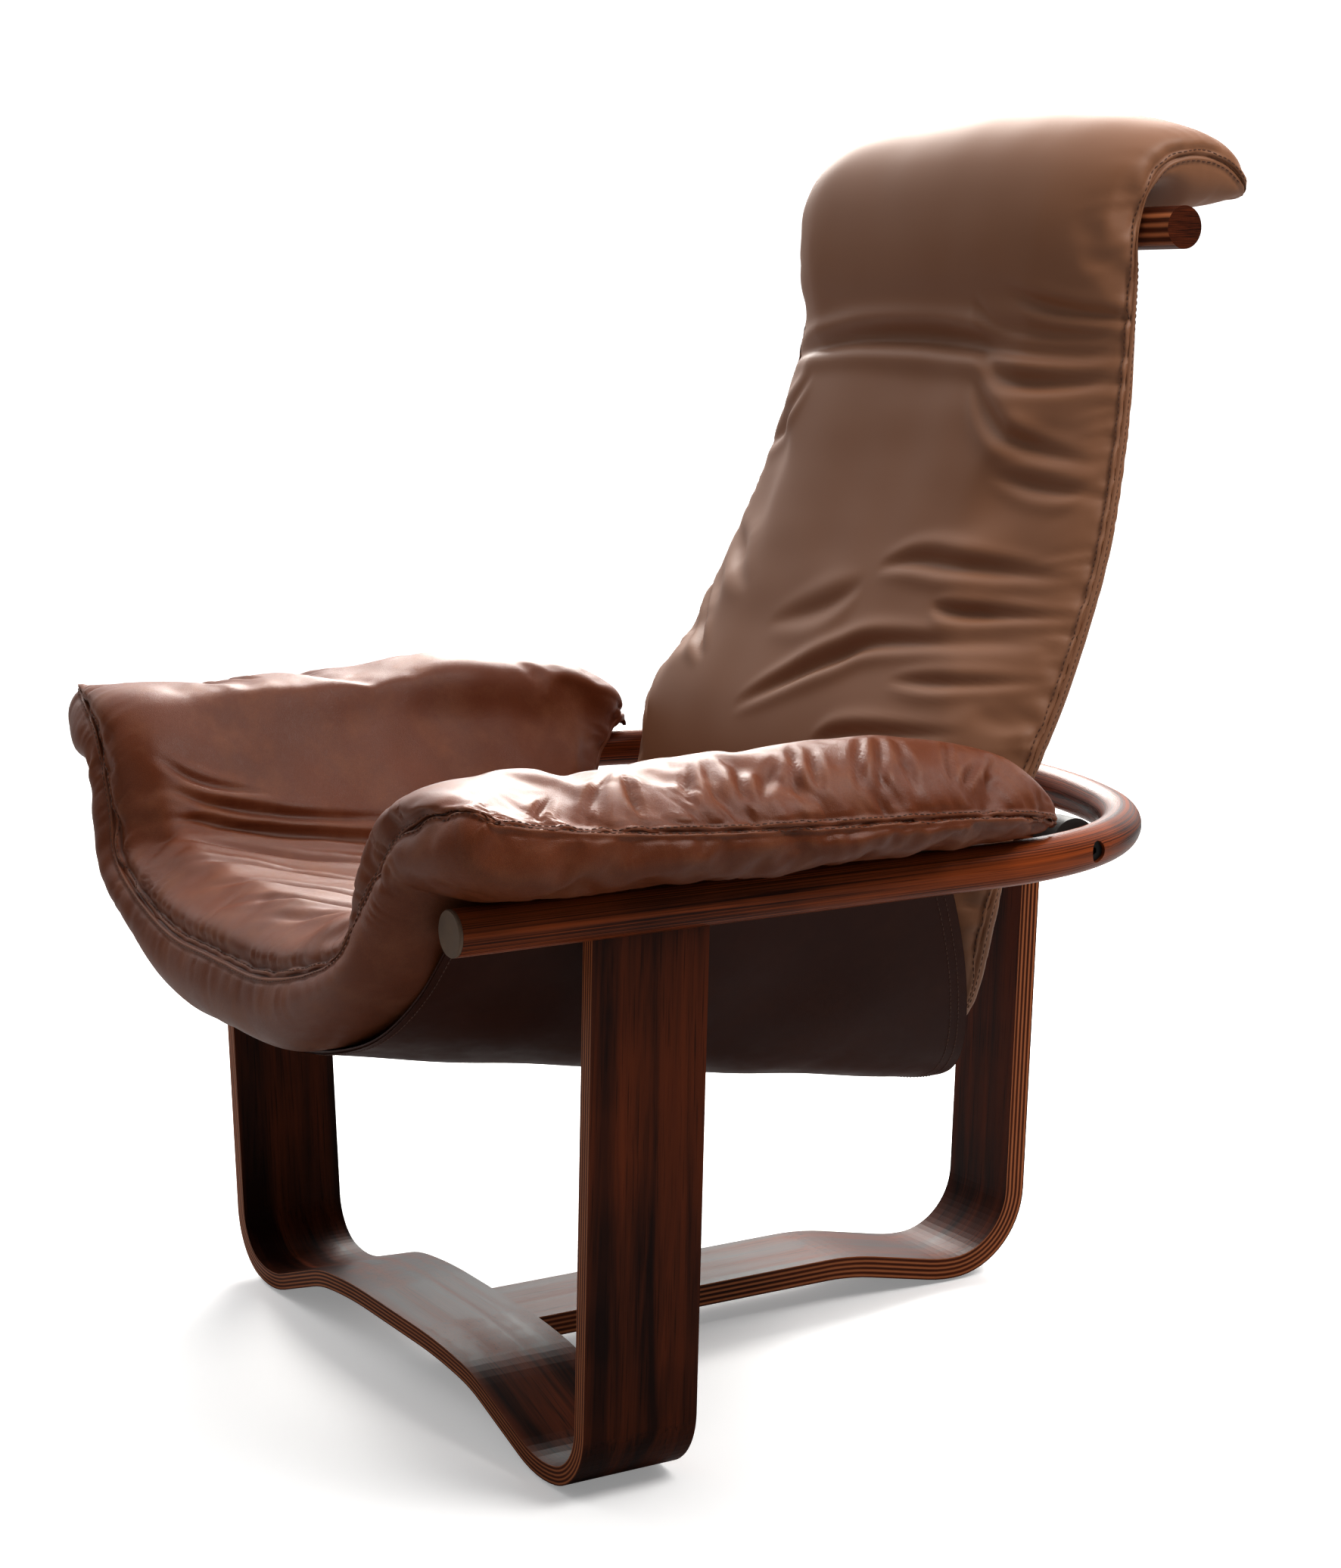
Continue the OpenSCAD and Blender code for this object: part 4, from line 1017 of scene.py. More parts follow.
class ARMCHAIR_OT_sling(bpy.types.Operator):
    """Hangs the leather sling on its two hem rods, with its stitched hems"""

    bl_idname = "armchair.sling"
    bl_label = "Sling"

    def execute(self, context):
        s, thread = context.scene.armchair_sling, context.scene.armchair_stitch
        colours = context.scene.armchair_leather
        section = sling_section()
        share = spaced_from_ends(1.0, 0.011)
        x = np.array([q[0] for q in section])
        turn = np.radians([q[1] for q in section])
        y_end = sling_end(x)
        y = SLING_FRONT + share[:, None] * (y_end - SLING_FRONT)[None, :]
        z = sling_height(x[None, :], y)
        on_rod = turn > 0
        x_all = np.where(on_rod, np.sign(x) * (HEM_X + HEM_R * np.sin(turn)), x)
        z = np.where(on_rod[None, :], (HEM_Z - HEM_R * np.cos(turn))[None, :], z)
        grid = np.stack([np.broadcast_to(x_all, y.shape), y, z], axis=-1)
        normal = grid_normals(grid)
        rng = np.random.default_rng(5)
        across = np.broadcast_to(lengths_along(grid[len(grid) // 2])[None, :], y.shape)
        wave = soft_noise(rng, across, y, 0.16) * 0.0012
        hung = np.where(on_rod[None, :], 0, np.clip((HEM_X - np.abs(x)) / 0.05, 0, 1)[None, :])
        grid = grid + normal * (wave * hung)[..., None]
        half = s.thickness / 2
        points, quads = sheet_with_rim(in_place(grid + normal * half),
                                       in_place(grid - normal * half))
        sling = new_mesh("sling_leather_sheet", points, quads)
        # (0.03, 0.01, 0.006) is painted shade laid into the sling's creases, seam hollows and
        # grain crevices
        hide = leather("sling_leather", colours.sling, (0.14, 0.06, 0.035), (0.03, 0.01, 0.006),
                       0.8 * colours.grain, gloss=0.45, wear=0.5, depth=0.6, shine=0.12)
        finish_piece(sling, hide, "frame")
        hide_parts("sling")
        sling_seams(grid, normal, half, thread, colours)
        return {"FINISHED"}


def sling_seams(grid, normal, half, thread, colours):
    """Two rows of stitches along the rear edge and one along the front edge, on the outer side."""
    yarn = plain("sling_thread", colours.thread, 0.6, speckle=1500)
    for name, row_y in (("front", 0.006), ("rear_a", -0.009), ("rear_b", -0.017)):
        line, out = [], []
        for j in range(grid.shape[1]):
            column, length = grid[:, j], lengths_along(grid[:, j])
            at = row_y if row_y > 0 else length[-1] + row_y
            line.append([np.interp(at, length, column[:, k]) for k in range(3)])
            out.append([-np.interp(at, length, normal[:, j, k]) for k in range(3)])
        line, out = np.array(line), np.array(out)
        keep = np.abs(line[:, 0]) < HEM_X - 0.004
        line, out = line[keep] + out[keep] * half, out[keep]
        along = lengths_along(line)
        normals = sampled(out, along, np.arange(0, along[-1], LINE_STEP))
        stitches("sling_stitches_" + name, in_place(dense(line)), normals, thread,
                 "frame", yarn)


# ---- seat cushion with its wings ---------------------------------------------------------------

SEAM_X = 0.55 * RAIL_X                   # where the seat turns up into a wing
WELT_X = RAIL_X + 0.052                  # outer seam of each wing
WELT_Z, WELT_RISE = 0.5195, 0.04         # height of that seam behind, and its rise to the front
RAIL_TOP = HOOP_Z + ROD_R
ARM_TIP = np.array([RAIL_X - 0.018, RAIL_TOP + 0.003])   # where a wing closes behind
INNER_TAPER, OUTER_TAPER = 0.17, 0.13    # where its inner and outer half start to thin out
HEM_INSIDE = HEM_X - 0.0093
SIDE_RUN = 0.58                          # from the cushion's front seam to its rear one
# Along the seam from the middle to a wing's side: its place in front of or behind the front leg,
# its share of the height between the lower and the upper surface, and behind the seat's end
FRONT_SEAM = [-0.200, -0.200, -0.195, -0.188, -0.183, -0.179, -0.175, -0.170, -0.162, -0.146]
SEAM_SHARE = [0.66, 0.64, 0.60, 0.62, 0.56, 0.60, 0.75, 0.92, 0.96, 1.0]
REAR_END = [0.0, 0.0, 0.0, 0.026, 0.072, 0.096, 0.103, 0.105, 0.106, 0.106]


def seat_low(x, y):
    """Height of the seat's underside, on the sling."""
    return sling_height(x, np.maximum(y, SLING_FRONT)) + SEAT_ON_SLING


def seat_high(x, y):
    """Height of the seat's top, a little higher towards the wings."""
    crown = 0.16 * SEAT_THICK * np.minimum(np.abs(x) / SEAM_X, 1) ** 3
    return sling_floor(np.maximum(y, SLING_FRONT)) + SEAT_ON_SLING + SEAT_THICK + crown


def outer_seam_height(y):
    """The wing's outer seam falls a little towards the back."""
    return WELT_Z + WELT_RISE * np.exp(-(y + 0.166) / 0.18)


def wing_knots(y):
    """Half section of the cushion at each y: the knots of its upper and of its lower surface,
    from the middle of the seat out to the seam of the wing."""
    one = np.ones_like(y)
    a, top = SEAM_X, seat_high(SEAM_X, y)
    crest = CREST_Z * one
    rise = crest - top
    seam = outer_seam_height(y)
    upper = [(0 * one, seat_high(0 * y, y)), (0.1 * one, seat_high(0.1, y)), (a * one, top),
             (a + 0.24 * rise, top + 0.30 * rise), (a + 0.50 * rise, top + 0.66 * rise)]
    upper += [((RAIL_X + past) * one, z) for past, z in (
        (-0.062, crest - 0.010), (-0.020, crest), (0.018, crest - 0.005),
        (0.041, np.maximum(crest - 0.019, seam + 0.008)))]
    lower = [(x * one, seat_low(x, y) + lift) for x, lift in (
        (0 * y, 0.0), (0.12, 0.0), (HEM_X - 0.069, 0.001), (HEM_INSIDE - 0.012, 0.008))]
    lower += [(HEM_INSIDE * one, (RAIL_TOP - 0.013) * one)]
    lower += [((RAIL_X + past) * one, (RAIL_TOP + over) * one) for past, over in (
        (-0.020, 0.002), (0.014, 0.003), (0.041, 0.011), (0.057, 0.026))]
    welt = [(WELT_X * one, seam)]
    return upper + welt, lower + welt


def tapered(knots, y):
    """Shrinks the wing's knots towards the rail where it thins out behind."""
    inner, outer = (
        np.maximum(np.sqrt(1 - np.clip((y - start) / (ARM_TIP_Y - start), 0, 1) ** power), least)
        for start, power, least in ((INNER_TAPER, 4, 0.05), (OUTER_TAPER, 2.6, 0.06)))
    shoulder = np.array([HEM_INSIDE - 0.002, RAIL_TOP - 0.013])
    out = []
    for k, (x, z) in enumerate(knots):
        if k < 3:
            out.append((x, z))
            continue
        dx, dz = x - ARM_TIP[0], z - ARM_TIP[1]
        sx, sz = np.where(dx < 0, inner, outer), np.where(dz > 0, outer, 1)
        hidden = (dx < 0) & (z < RAIL_TOP)
        drawn_in = shoulder[0] + inner * (x - shoulder[0]), shoulder[1] + inner * (z - shoulder[1])
        out.append((np.where(hidden, drawn_in[0], ARM_TIP[0] + sx * dx),
                    np.where(hidden, drawn_in[1], ARM_TIP[1] + sz * dz)))
    return out


def seat_grids(s):
    """Upper and lower surface of the winged cushion as two grids that meet in its seam, with each
    column's distance from the middle, measured over the upper surface."""
    count = len(FRONT_SEAM)
    k = np.linspace(0, count - 1, 600)
    sample = wing_knots(np.zeros(1))[0]
    profile = spline_weights(k, count) @ np.array([[float(x[0]), float(z[0])] for x, z in sample])
    arc = lengths_along(profile)
    total = arc[-1]
    half = total - spaced_from_ends(total, s.pitch, fine_start=True, fine_end=False)[::-1]
    half[0] = 0.0
    across = np.concatenate([-half[:0:-1], half])
    knot = np.interp(np.abs(across), arc, k)
    side = np.where(across < 0, -1.0, 1.0)
    w = spline_weights(knot, count)
    front, share, rear = (w @ np.array(v) for v in (FRONT_SEAM, SEAM_SHARE, REAR_END))
    rear = SEAT_END + np.maximum(rear, 0)
    run = spaced_from_ends(SIDE_RUN, s.pitch)
    grids = []
    for upper in (True, False):
        radius = s.top_round if upper else s.box_round
        bend = radius * math.pi / 2
        angle = np.clip(run / bend, 0, 1) * math.pi / 2
        bulge = s.nose_bulge * np.sin(2 * angle) * (1.0 if upper else 1.5)
        straight = np.clip((run - bend) / (SIDE_RUN - bend), 0, 1)
        y = (front[None, :] + (radius * (1 - np.cos(angle)) - bulge)[:, None]
             + straight[:, None] * (rear - front - radius)[None, :])
        y[0], y[-1] = front, rear
        knots = [tapered(side_knots, y) for side_knots in wing_knots(y)]
        top, low = (np.stack([sum(w[None, :, i] * q[i][axis] for i in range(count))
                              for axis in (0, 1)], axis=-1) for q in knots)
        seam = low + share[None, :, None] * (top - low)
        end = ease((rear[None, :] - y) / END_ROUND)
        full = np.sin(angle)[:, None] * end
        p = seam + (top - seam if upper else low - seam) * full[..., None]
        p[0], p[-1] = seam[0], seam[-1]
        grids.append(np.stack([side[None, :] * p[..., 0], y, p[..., 1]], axis=-1))
    upper, lower = grids
    edge = outer_edge(upper)
    lower[edge] = upper[edge]
    return upper, lower, across


def relief_beside(points, seam, rng, wave, reach, slant, depth):
    """Relief of a panel beside a seam: the seam's folded lip, then gathers."""
    d, t = near_line(points, seam, reach * 1.8)
    length = lengths_along(seam)[-1]
    return seam_relief(d) + depth * gathers(rng, d, t, length, wave, reach, slant)


def clear_of_seam(grid):
    """0 on a grid's outer edge, 1 from 30 mm inside it."""
    return smoothstep(near_line(grid, dense(rim(grid), 0.004), 0.05)[0] / 0.03)


# Creases across the seat and wings, as points (across, behind the front leg), width and depth
SEAT_CREASES = [
    ([(-0.235, -0.165), (-0.22, -0.08), (-0.215, 0.02), (-0.225, 0.14)], 0.007, 0.0060),
    ([(-0.27, -0.160), (-0.245, -0.10), (-0.235, -0.02), (-0.24, 0.09)], 0.006, 0.0045),
    ([(-0.31, -0.158), (-0.275, -0.12), (-0.258, -0.05)], 0.005, 0.0030),
    ([(-0.20, -0.165), (-0.18, -0.09), (-0.16, 0.0), (-0.17, 0.12)], 0.008, 0.0045),
    ([(-0.155, -0.175), (-0.12, -0.10), (-0.07, -0.03), (-0.03, 0.03)], 0.007, 0.0045),
    ([(-0.11, -0.18), (-0.05, -0.12), (0.02, -0.07), (0.08, -0.04)], 0.007, 0.0040),
    ([(-0.05, -0.18), (0.02, -0.135), (0.09, -0.10), (0.16, -0.09)], 0.006, 0.0036),
    ([(0.02, -0.175), (0.08, -0.15), (0.14, -0.13), (0.21, -0.13)], 0.006, 0.0030),
    ([(0.25, -0.15), (0.215, -0.10), (0.205, 0.0), (0.215, 0.13)], 0.007, 0.0055),
    ([(-0.10, 0.02), (-0.03, 0.05), (0.05, 0.06), (0.12, 0.10)], 0.008, 0.0030),
]
# Long folds over the outer half of each wing, slanting back from its seam
WING_FOLDS = 16


def wing_folds(rng, a, b, total):
    """Slanting folds on top of both wings, deepest beside the crest."""
    relief = np.zeros_like(a)
    for side in (-1, 1):
        places = np.linspace(-0.105, 0.30, WING_FOLDS) + rng.uniform(-0.012, 0.012, WING_FOLDS)
        for y in places:
            out = total - rng.uniform(0.006, 0.018)
            inner = total - rng.uniform(0.05, 0.10)
            lean = rng.uniform(0.025, 0.055)
            line = [(side * out, y), (side * (0.6 * out + 0.4 * inner), y + 0.3 * lean),
                    (side * inner, y + lean)]
            relief += crease(a, b, line, rng.uniform(0.0032, 0.0050), rng.uniform(0.0024, 0.0046))
    return relief


class ARMCHAIR_OT_seat(bpy.types.Operator):
    """Makes the winged seat cushion with its seams, gathers, creases and stitching"""

    bl_idname = "armchair.seat"
    bl_label = "Seat cushion"

    def execute(self, context):
        s, thread = context.scene.armchair_seat, context.scene.armchair_stitch
        colours = context.scene.armchair_leather
        rng = np.random.default_rng(s.seed)
        upper, lower, across = seat_grids(s)
        clear = clear_of_seam(upper)
        hidden = smoothstep((np.abs(lower[..., 0]) < HEM_X) * 1.0
                            * (lower[..., 1] > SLING_FRONT - 0.012))
        on_rail = (lower[..., 2] < RAIL_TOP + 0.008) & (np.abs(lower[..., 0]) < RAIL_X + 0.02)
        firm = np.maximum(hidden, on_rail)
        edge = outer_edge(upper).astype(float)
        upper, lower = stuffed("seat", upper, lower, (edge, np.maximum(firm, edge)),
                               pressure=3.0, growth=0.03, cap=0.010)
        seam = dense(rim(upper))
        a = np.broadcast_to(across[None, :], upper.shape[:2])
        b = upper[..., 1]
        relief = relief_beside(upper, seam, rng, 0.016, 0.045, 0.4, s.pucker)
        for points, width, depth in SEAT_CREASES:
            relief = relief + crease(a, b, points, width, depth)
        relief += wing_folds(rng, a, b, across[-1])
        relief += clear * (0.0016 * soft_noise(rng, a, b, 0.13)
                           + 0.0004 * soft_noise(rng, a, b, 0.06))
        upper = upper + grid_normals(upper) * relief[..., None]
        hidden = smoothstep((HEM_X - np.abs(lower[..., 0])) / 0.02) * smoothstep(
            (lower[..., 1] - SLING_FRONT) / 0.03)
        lower_seams = relief_beside(lower, seam, rng, 0.019, 0.035, -0.3, 0.7 * s.pucker)
        lower_seams += clear_of_seam(lower) * 0.0010 * soft_noise(rng, a, lower[..., 1], 0.07)
        pressed_in = 0.005               # keeps the hidden underside off the sling
        lower_seams = lower_seams * (1 - hidden) - pressed_in * hidden
        lower = lower - grid_normals(lower) * lower_seams[..., None]
        join_edges(upper, lower)
        points, quads = closed_pair(in_place(upper), in_place(lower))
        cushion = new_mesh("seat_cushion_winged", points, quads)
        # colours.dark paints shade into the cushions' creases, seam hollows and grain crevices
        hide = leather("cushion_leather", colours.colour, colours.worn, colours.dark,
                       colours.grain)
        finish_piece(cushion, hide, "frame")
        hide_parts("seat_cushion", "arm_bolster_left", "arm_bolster_right")
        yarn = plain("cushion_thread", colours.thread, 0.6, speckle=1500)
        for name, grid, side in (("seat_stitches_top", upper, 1),
                                 ("seat_stitches_side", lower, -1)):
            line, out = beside_seam(grid, thread.offset)
            stitches(name, in_place(line), side * out, thread, "frame", yarn)
        return {"FINISHED"}


def beside_seam(grid, offset):
    """Closed line at a distance inside a grid's outer edge, with the surface's normals."""
    normal = grid_normals(grid)
    rows, cols = grid.shape[:2]
    line, out = [], []

    def inward(points, normals):
        length = lengths_along(points)
        at = min(offset, length[-1] / 3)
        line.append([np.interp(at, length, points[:, k]) for k in range(3)])
        out.append([np.interp(at, length, normals[:, k]) for k in range(3)])

    reach, corner = 24, 10               # grid lines looked at, and left out beside each corner
    for i in range(rows - corner, corner, -1):
        inward(grid[i, :reach], normal[i, :reach])
    for j in range(corner, cols - corner):
        inward(grid[:reach, j], normal[:reach, j])
    for i in range(corner, rows - corner):
        inward(grid[i, :-reach:-1], normal[i, :-reach:-1])
    line, out = np.array(line), np.array(out)
    along = lengths_along(line)
    at = np.arange(0, along[-1], LINE_STEP)
    line, out = sampled(line, along, at), sampled(out, along, at)
    return line, out / np.linalg.norm(out, axis=1, keepdims=True)


# ---- back cushion ------------------------------------------------------------------------------

# Rows from the cushion's lower end, over the head crossbar and down the flap, in millimetres:
# behind the pivot, above the pivot, half width short of the widest, front depth, rear depth
BACK_ROWS = [
    (-66, -180, 120, 8, 8), (-68, -173, 70, 24, 16), (-70, -154, 38, 36, 24),
    (-67, -124, 20, 43, 26), (-60, -69, 10, 47, 28), (-43, 0, 4, 50, 20), (-25, 56, 0, 50, 24),
    (15, 131, 5, 50, 26), (61, 231, 17, 50, 26), (94, 331, 34, 46, 24), (111, 411, 45, 36, 18),
    (119, 461, 50, 50, 10), (125, 503, 53, 52, 3), (136, 536, 53, 50, 6), (155, 557, 53, 44, 26),
    (187, 564, 53, 37, 50), (220, 557, 54, 33, 46), (246, 540, 60, 20, 26), (257, 530, 80, 6, 8)]
# Creases on the front, as points (across, above the floor), width and depth
BACK_CREASES = [
    ([(-0.270, 0.856), (-0.190, 0.868), (-0.090, 0.879), (0.020, 0.880), (0.113, 0.874),
      (0.177, 0.868), (0.292, 0.868)], 0.009, 0.0105),
    ([(0.100, 0.872), (0.145, 0.850), (0.190, 0.842), (0.273, 0.846)], 0.007, 0.0060),
    ([(0.090, 0.915), (0.119, 0.893), (0.177, 0.884), (0.279, 0.880)], 0.007, 0.0050),
    ([(0.132, 0.925), (0.190, 0.905), (0.279, 0.893)], 0.006, 0.0042),
    ([(0.113, 0.845), (0.145, 0.815), (0.190, 0.790), (0.260, 0.775)], 0.007, 0.0055),
    ([(0.164, 0.765), (0.215, 0.755), (0.286, 0.750)], 0.006, 0.0040),
    ([(0.177, 0.995), (0.209, 0.965), (0.273, 0.935)], 0.006, 0.0042),
    ([(0.215, 1.010), (0.241, 0.985), (0.279, 0.965)], 0.005, 0.0038),
    ([(-0.260, 0.769), (-0.200, 0.800), (-0.150, 0.845)], 0.008, 0.0042),
    ([(-0.270, 0.700), (-0.200, 0.672), (-0.140, 0.645)], 0.009, 0.0034),
    ([(-0.280, 0.645), (-0.215, 0.606), (-0.165, 0.578)], 0.006, 0.0060),
    ([(-0.285, 0.575), (-0.270, 0.545), (-0.235, 0.510)], 0.006, 0.0042),
    ([(0.060, 0.680), (0.113, 0.690), (0.177, 0.688), (0.279, 0.682)], 0.007, 0.0060),
    ([(-0.080, 0.620), (0.000, 0.640), (0.050, 0.665)], 0.009, 0.0034),
    ([(-0.080, 0.545), (-0.020, 0.572), (0.050, 0.601), (0.113, 0.620), (0.279, 0.630)],
     0.007, 0.0068),
    ([(0.151, 0.655), (0.190, 0.650), (0.286, 0.652)], 0.005, 0.0048),
    ([(0.060, 0.527), (0.113, 0.542), (0.254, 0.557)], 0.006, 0.0050),
    ([(0.138, 0.590), (0.202, 0.594), (0.292, 0.600)], 0.005, 0.0036),
]


def back_profile(pitch):
    """Rows of the back cushion a pitch apart: y, z, half width, front and rear depth, tangent."""
    rows = np.array(BACK_ROWS, float) / 1000
    k = np.linspace(0, len(rows) - 1, 40 * (len(rows) - 1) + 1)
    fine = spline_weights(k, len(rows)) @ rows
    length = lengths_along(fine[:, :2])
    at = spaced_from_ends(length[-1], pitch)
    row = np.stack([np.interp(at, length, fine[:, c]) for c in range(5)], axis=1)
    tangent = np.gradient(row[:, :2], axis=0)
    tangent /= np.linalg.norm(tangent, axis=1, keepdims=True)
    end = np.minimum(ease(at / END_ROUND), ease((length[-1] - at) / END_ROUND))
    return (PIVOT_Y + row[:, 0], PIVOT_Z + row[:, 1], BACK_HALF - row[:, 2],
            np.maximum(row[:, 3], 0.012) * end, np.maximum(row[:, 4], 0.004) * end, tangent, at)


def back_grids(s):
    """Front and rear surface of the back cushion as two grids that meet in its seam, with each
    row's distance along its profile from the cushion's lower end."""
    y, z, half, front, rear, tangent, at = back_profile(s.pitch)
    a = np.linspace(0, math.pi, 900)
    grids = []
    for depth, side, square, round_ in ((front, 1, 0.62, 0.80), (rear, -1, 0.30, 0.62)):
        c = np.sign(np.cos(a)) * np.abs(np.cos(a)) ** square
        n = np.sin(a) ** round_
        arc = lengths_along(np.stack([0.27 * c, (0.05 if side > 0 else 0.025) * n], axis=1))
        places = np.interp(spaced_from_ends(arc[-1], s.pitch), arc, a)
        if grids:
            places = np.interp(np.linspace(0, 1, grids[0].shape[1]),
                               np.linspace(0, 1, len(places)), places)
        c = -np.sign(np.cos(places)) * np.abs(np.cos(places)) ** square
        n = side * np.sin(places) ** round_
        n[0] = n[-1] = 0
        x = half[:, None] * c[None, :]
        off = depth[:, None] * n[None, :]
        grids.append(np.stack([x, y[:, None] - off * tangent[:, 1:2],
                               z[:, None] + off * tangent[:, 0:1]], axis=-1))
    upper, lower = grids
    edge = outer_edge(upper)
    lower[edge] = upper[edge]
    return upper, lower, at


class ARMCHAIR_OT_back(bpy.types.Operator):
    """Makes the back cushion with its head roll, seams, gathers, creases and stitching"""

    bl_idname = "armchair.back"
    bl_label = "Back cushion"

    def execute(self, context):
        s, thread = context.scene.armchair_back, context.scene.armchair_stitch
        rng = np.random.default_rng(s.seed)
        upper, lower, at = back_grids(s)
        clear = clear_of_seam(upper)
        edge = outer_edge(upper).astype(float)
        upper, lower = stuffed("back", upper, lower, (edge, np.ones_like(edge)),
                               pressure=3.0, growth=0.03, cap=0.010)
        seam = dense(rim(upper))
        a, b = upper[..., 0], upper[..., 2]
        on_front = at[:, None] < at[-1] * 0.75
        relief = relief_beside(upper, seam, rng, 0.020, 0.045, 0.35, s.pucker)
        for points, width, depth in BACK_CREASES:
            relief = relief + crease(a, b, points, width, depth) * on_front
        along = np.broadcast_to(at[:, None], a.shape)
        relief += clear * (0.0010 * soft_noise(rng, a, along, 0.2)
                           + 0.0003 * soft_noise(rng, a, along, 0.07))
        upper = upper + grid_normals(upper) * relief[..., None]
        rear = relief_beside(lower, seam, rng, 0.022, 0.02, -0.3, 0.5 * s.pucker)
        lower = lower - grid_normals(lower) * rear[..., None]
        join_edges(upper, lower)
        points, quads = closed_pair(in_place(upper), in_place(lower))
        cushion = new_mesh("back_cushion_leather", points, quads)
        finish_piece(cushion, bpy.data.materials["cushion_leather"], "back")
        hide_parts("back_cushion")
        yarn = bpy.data.materials["cushion_thread"]
        for name, grid, side in (("back_stitches_front", upper, 1),
                                 ("back_stitches_side", lower, -1)):
            line, out = beside_seam(grid, thread.offset)
            stitches(name, in_place(line), side * out, thread, "back", yarn)
        return {"FINISHED"}


# ---- stage -------------------------------------------------------------------------------------


AIM = (0, 0, 0.5)                        # the lights point at the chair's middle


def soft_light(name, at, size, power, colour=(1, 1, 1)):
    """Round soft light that points at the chair."""
    data = bpy.data.lights.new(name, "AREA")
    data.shape, data.size, data.energy, data.color = "DISK", size, power, colour
    lamp = bpy.data.objects.new(name, data)
    lamp.location = at
    lamp.rotation_euler = (Vector(AIM) - Vector(at)).to_track_quat("-Z", "Y").to_euler()
    bpy.context.scene.collection.objects.link(lamp)


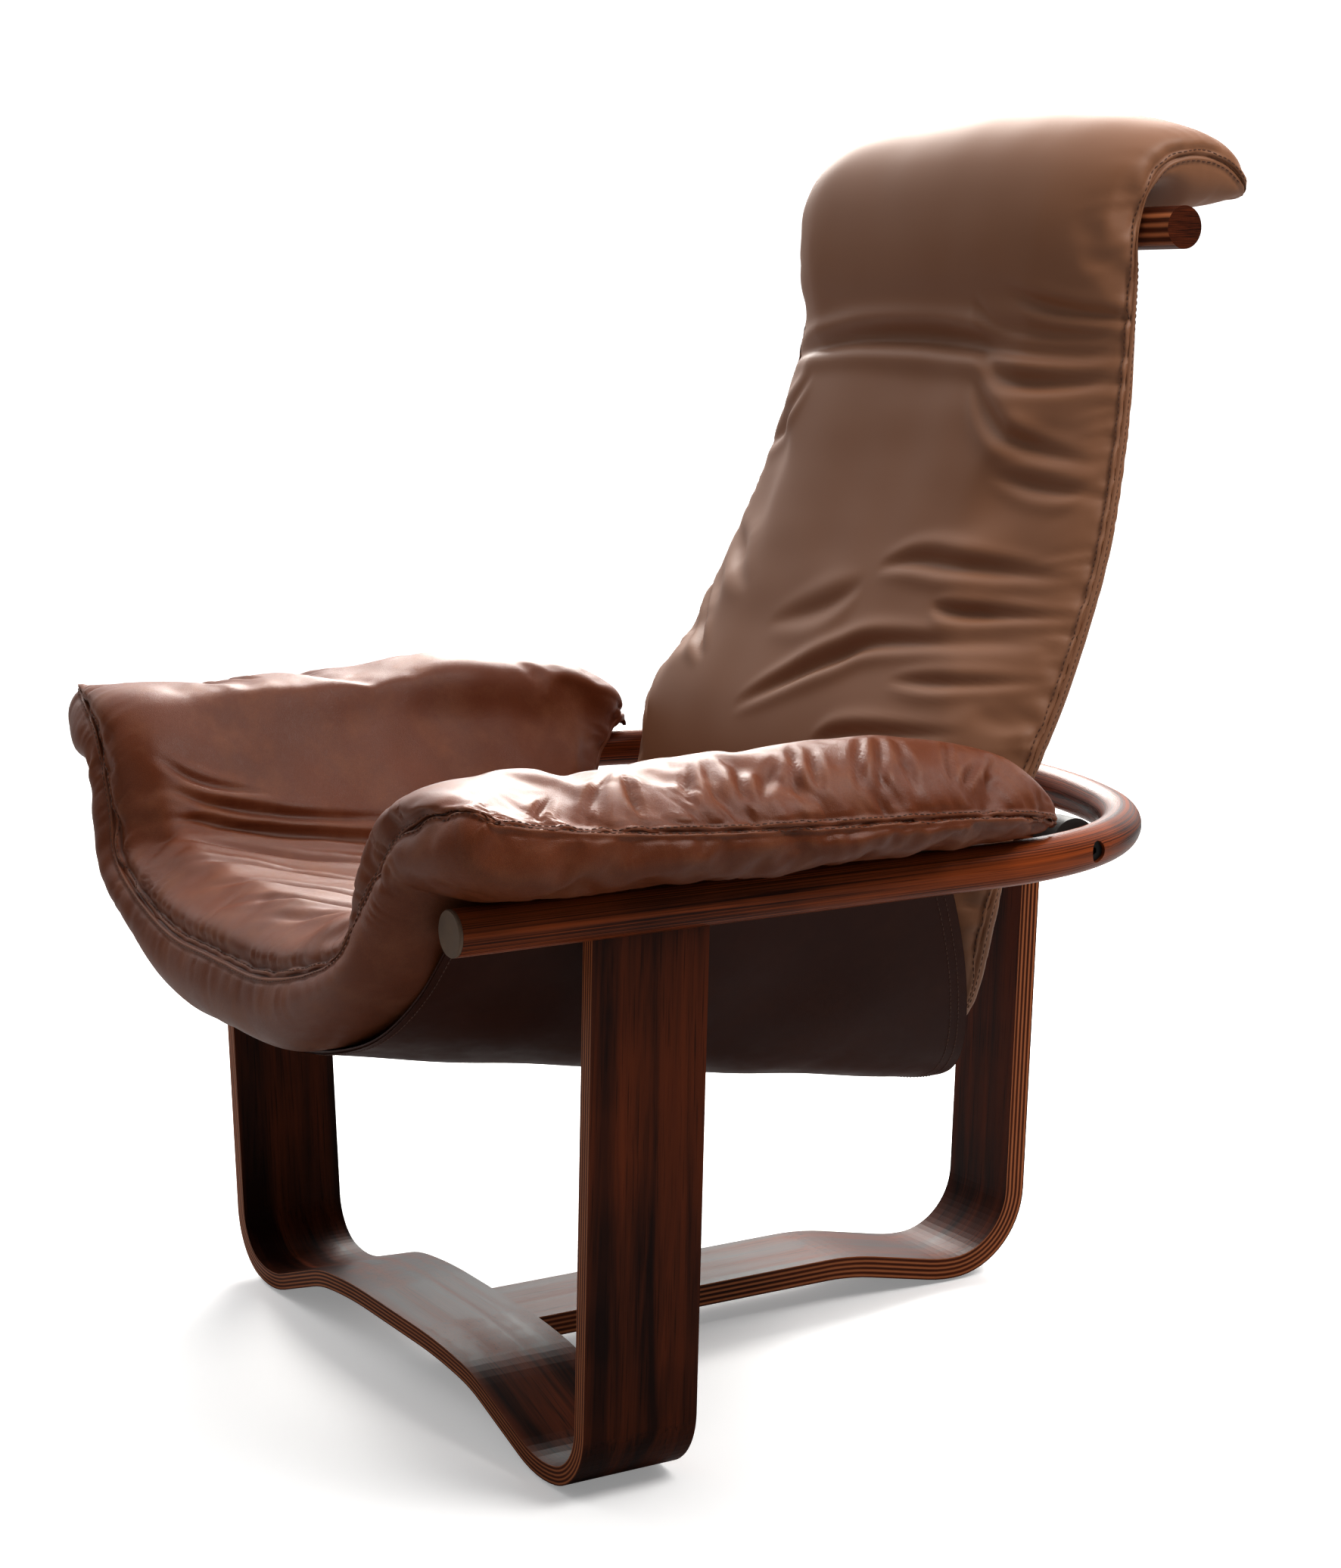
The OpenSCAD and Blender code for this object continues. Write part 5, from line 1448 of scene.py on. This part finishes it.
class ARMCHAIR_OT_stage(bpy.types.Operator):
    """Lays the pale floor and sets up the soft lights and the camera"""

    bl_idname = "armchair.stage"
    bl_label = "Stage"

    def execute(self, context):
        s = context.scene.armchair_stage
        half = s.floor_size / 2
        floor = new_mesh("studio_floor", [(-half, -half, 0), (half, -half, 0), (half, half, 0),
                                          (-half, half, 0)], [(0, 1, 2, 3)])
        g = Graph("studio_floor")
        cloud = g.noise(g.object_place(), 0.7, 2.0, 0.5)
        shade = g.blend(g.ramp(cloud, 0.3, 0.7), [0.985 * c for c in s.floor_colour],
                        s.floor_colour)
        seen = g.add("LightPath").outputs["Is Camera Ray"]
        shade = g.blend(seen, [s.bounce * c for c in s.floor_colour], shade)
        g.put(g.shader.inputs["Emission Color"], (1, 1, 1))
        g.put(g.shader.inputs["Emission Strength"], g.math("MULTIPLY", seen, s.floor_glow))
        floor.data.materials.append(g.set(colour=shade, rough=0.85, specular=0.1))
        world = bpy.data.worlds.new("studio_sky")
        world.use_nodes = True
        tree = world.node_tree
        sky = tree.nodes["Background"]
        toward = tree.nodes.new("ShaderNodeTexCoord").outputs["Generated"]
        facing = tree.nodes.new("ShaderNodeVectorMath")
        facing.operation = "DOT_PRODUCT"
        facing.inputs[1].default_value = s.bright_side
        spread = tree.nodes.new("ShaderNodeMapRange")
        spread.interpolation_type = "SMOOTHSTEP"
        spread.inputs[1].default_value, spread.inputs[2].default_value = 0.3, 0.95
        spread.inputs[3].default_value, spread.inputs[4].default_value = s.dim, s.sky
        tree.links.new(toward, facing.inputs[0])
        tree.links.new(facing.outputs["Value"], spread.inputs[0])
        tree.links.new(spread.outputs[0], sky.inputs["Strength"])
        sky.inputs["Color"].default_value = (1, 1, 1, 1)
        context.scene.world = world
        soft_light("key_light", (-2.3, 1.5, 2.1), 1.7, s.key, (1.0, 0.97, 0.93))
        soft_light("top_light", (1.5, 0.8, 2.5), 1.3, s.top, (1.0, 0.98, 0.96))
        soft_light("fill_light", (0.6, -3.2, 1.9), 2.6, s.fill)
        context.scene.view_settings.view_transform = "Standard"
        context.scene.view_settings.gamma = s.contrast
        data = bpy.data.cameras.new("camera")
        data.sensor_fit, data.sensor_height, data.lens = "VERTICAL", 36, s.lens
        camera = bpy.data.objects.new("camera", data)
        pan, tilt, roll = s.camera_turn
        turn = Matrix.Rotation(pan, 4, "Z") @ Matrix.Rotation(math.pi / 2 - tilt, 4, "X")
        turn = turn @ Matrix.Rotation(roll, 4, "Z")
        camera.matrix_world = Matrix.Translation(s.camera_at) @ turn
        context.scene.collection.objects.link(camera)
        context.scene.camera = camera
        return {"FINISHED"}


# ---- sidebar and registration ------------------------------------------------------------------

SETTINGS = {
    "armchair_stage": StageSettings, "armchair_leather": LeatherSettings,
    "armchair_wood": WoodSettings, "armchair_seat": SeatSettings, "armchair_back": BackSettings,
    "armchair_sling": SlingSettings, "armchair_stitch": StitchSettings}
STEPS = [ARMCHAIR_OT_stage, ARMCHAIR_OT_bands, ARMCHAIR_OT_rods, ARMCHAIR_OT_fittings,
         ARMCHAIR_OT_sling, ARMCHAIR_OT_seat, ARMCHAIR_OT_back]


class ARMCHAIR_PT_sidebar(bpy.types.Panel):
    """Settings and steps of the armchair"""

    bl_idname = "ARMCHAIR_PT_sidebar"
    bl_label = "Recliner armchair"
    bl_space_type = "VIEW_3D"
    bl_region_type = "UI"
    bl_category = "Armchair"

    def draw(self, context):
        for name, kind in SETTINGS.items():
            box = self.layout.box()
            box.label(text=kind.__doc__)
            for key in kind.__annotations__:
                box.prop(getattr(context.scene, name), key)
        for step in STEPS:
            self.layout.operator(step.bl_idname)


CLASSES = [*SETTINGS.values(), *STEPS, ARMCHAIR_PT_sidebar]


def register():
    for kind in CLASSES:
        bpy.utils.register_class(kind)
    for name, kind in SETTINGS.items():
        setattr(bpy.types.Scene, name, PointerProperty(type=kind))


def unregister():
    for name in SETTINGS:
        delattr(bpy.types.Scene, name)
    for kind in reversed(CLASSES):
        bpy.utils.unregister_class(kind)


def main():
    register()
    bpy.ops.armchair.stage()
    bpy.ops.armchair.bands()
    bpy.ops.armchair.rods()
    bpy.ops.armchair.fittings()
    bpy.ops.armchair.sling()
    bpy.ops.armchair.seat()
    bpy.ops.armchair.back()


if __name__ == "__main__":
    main()
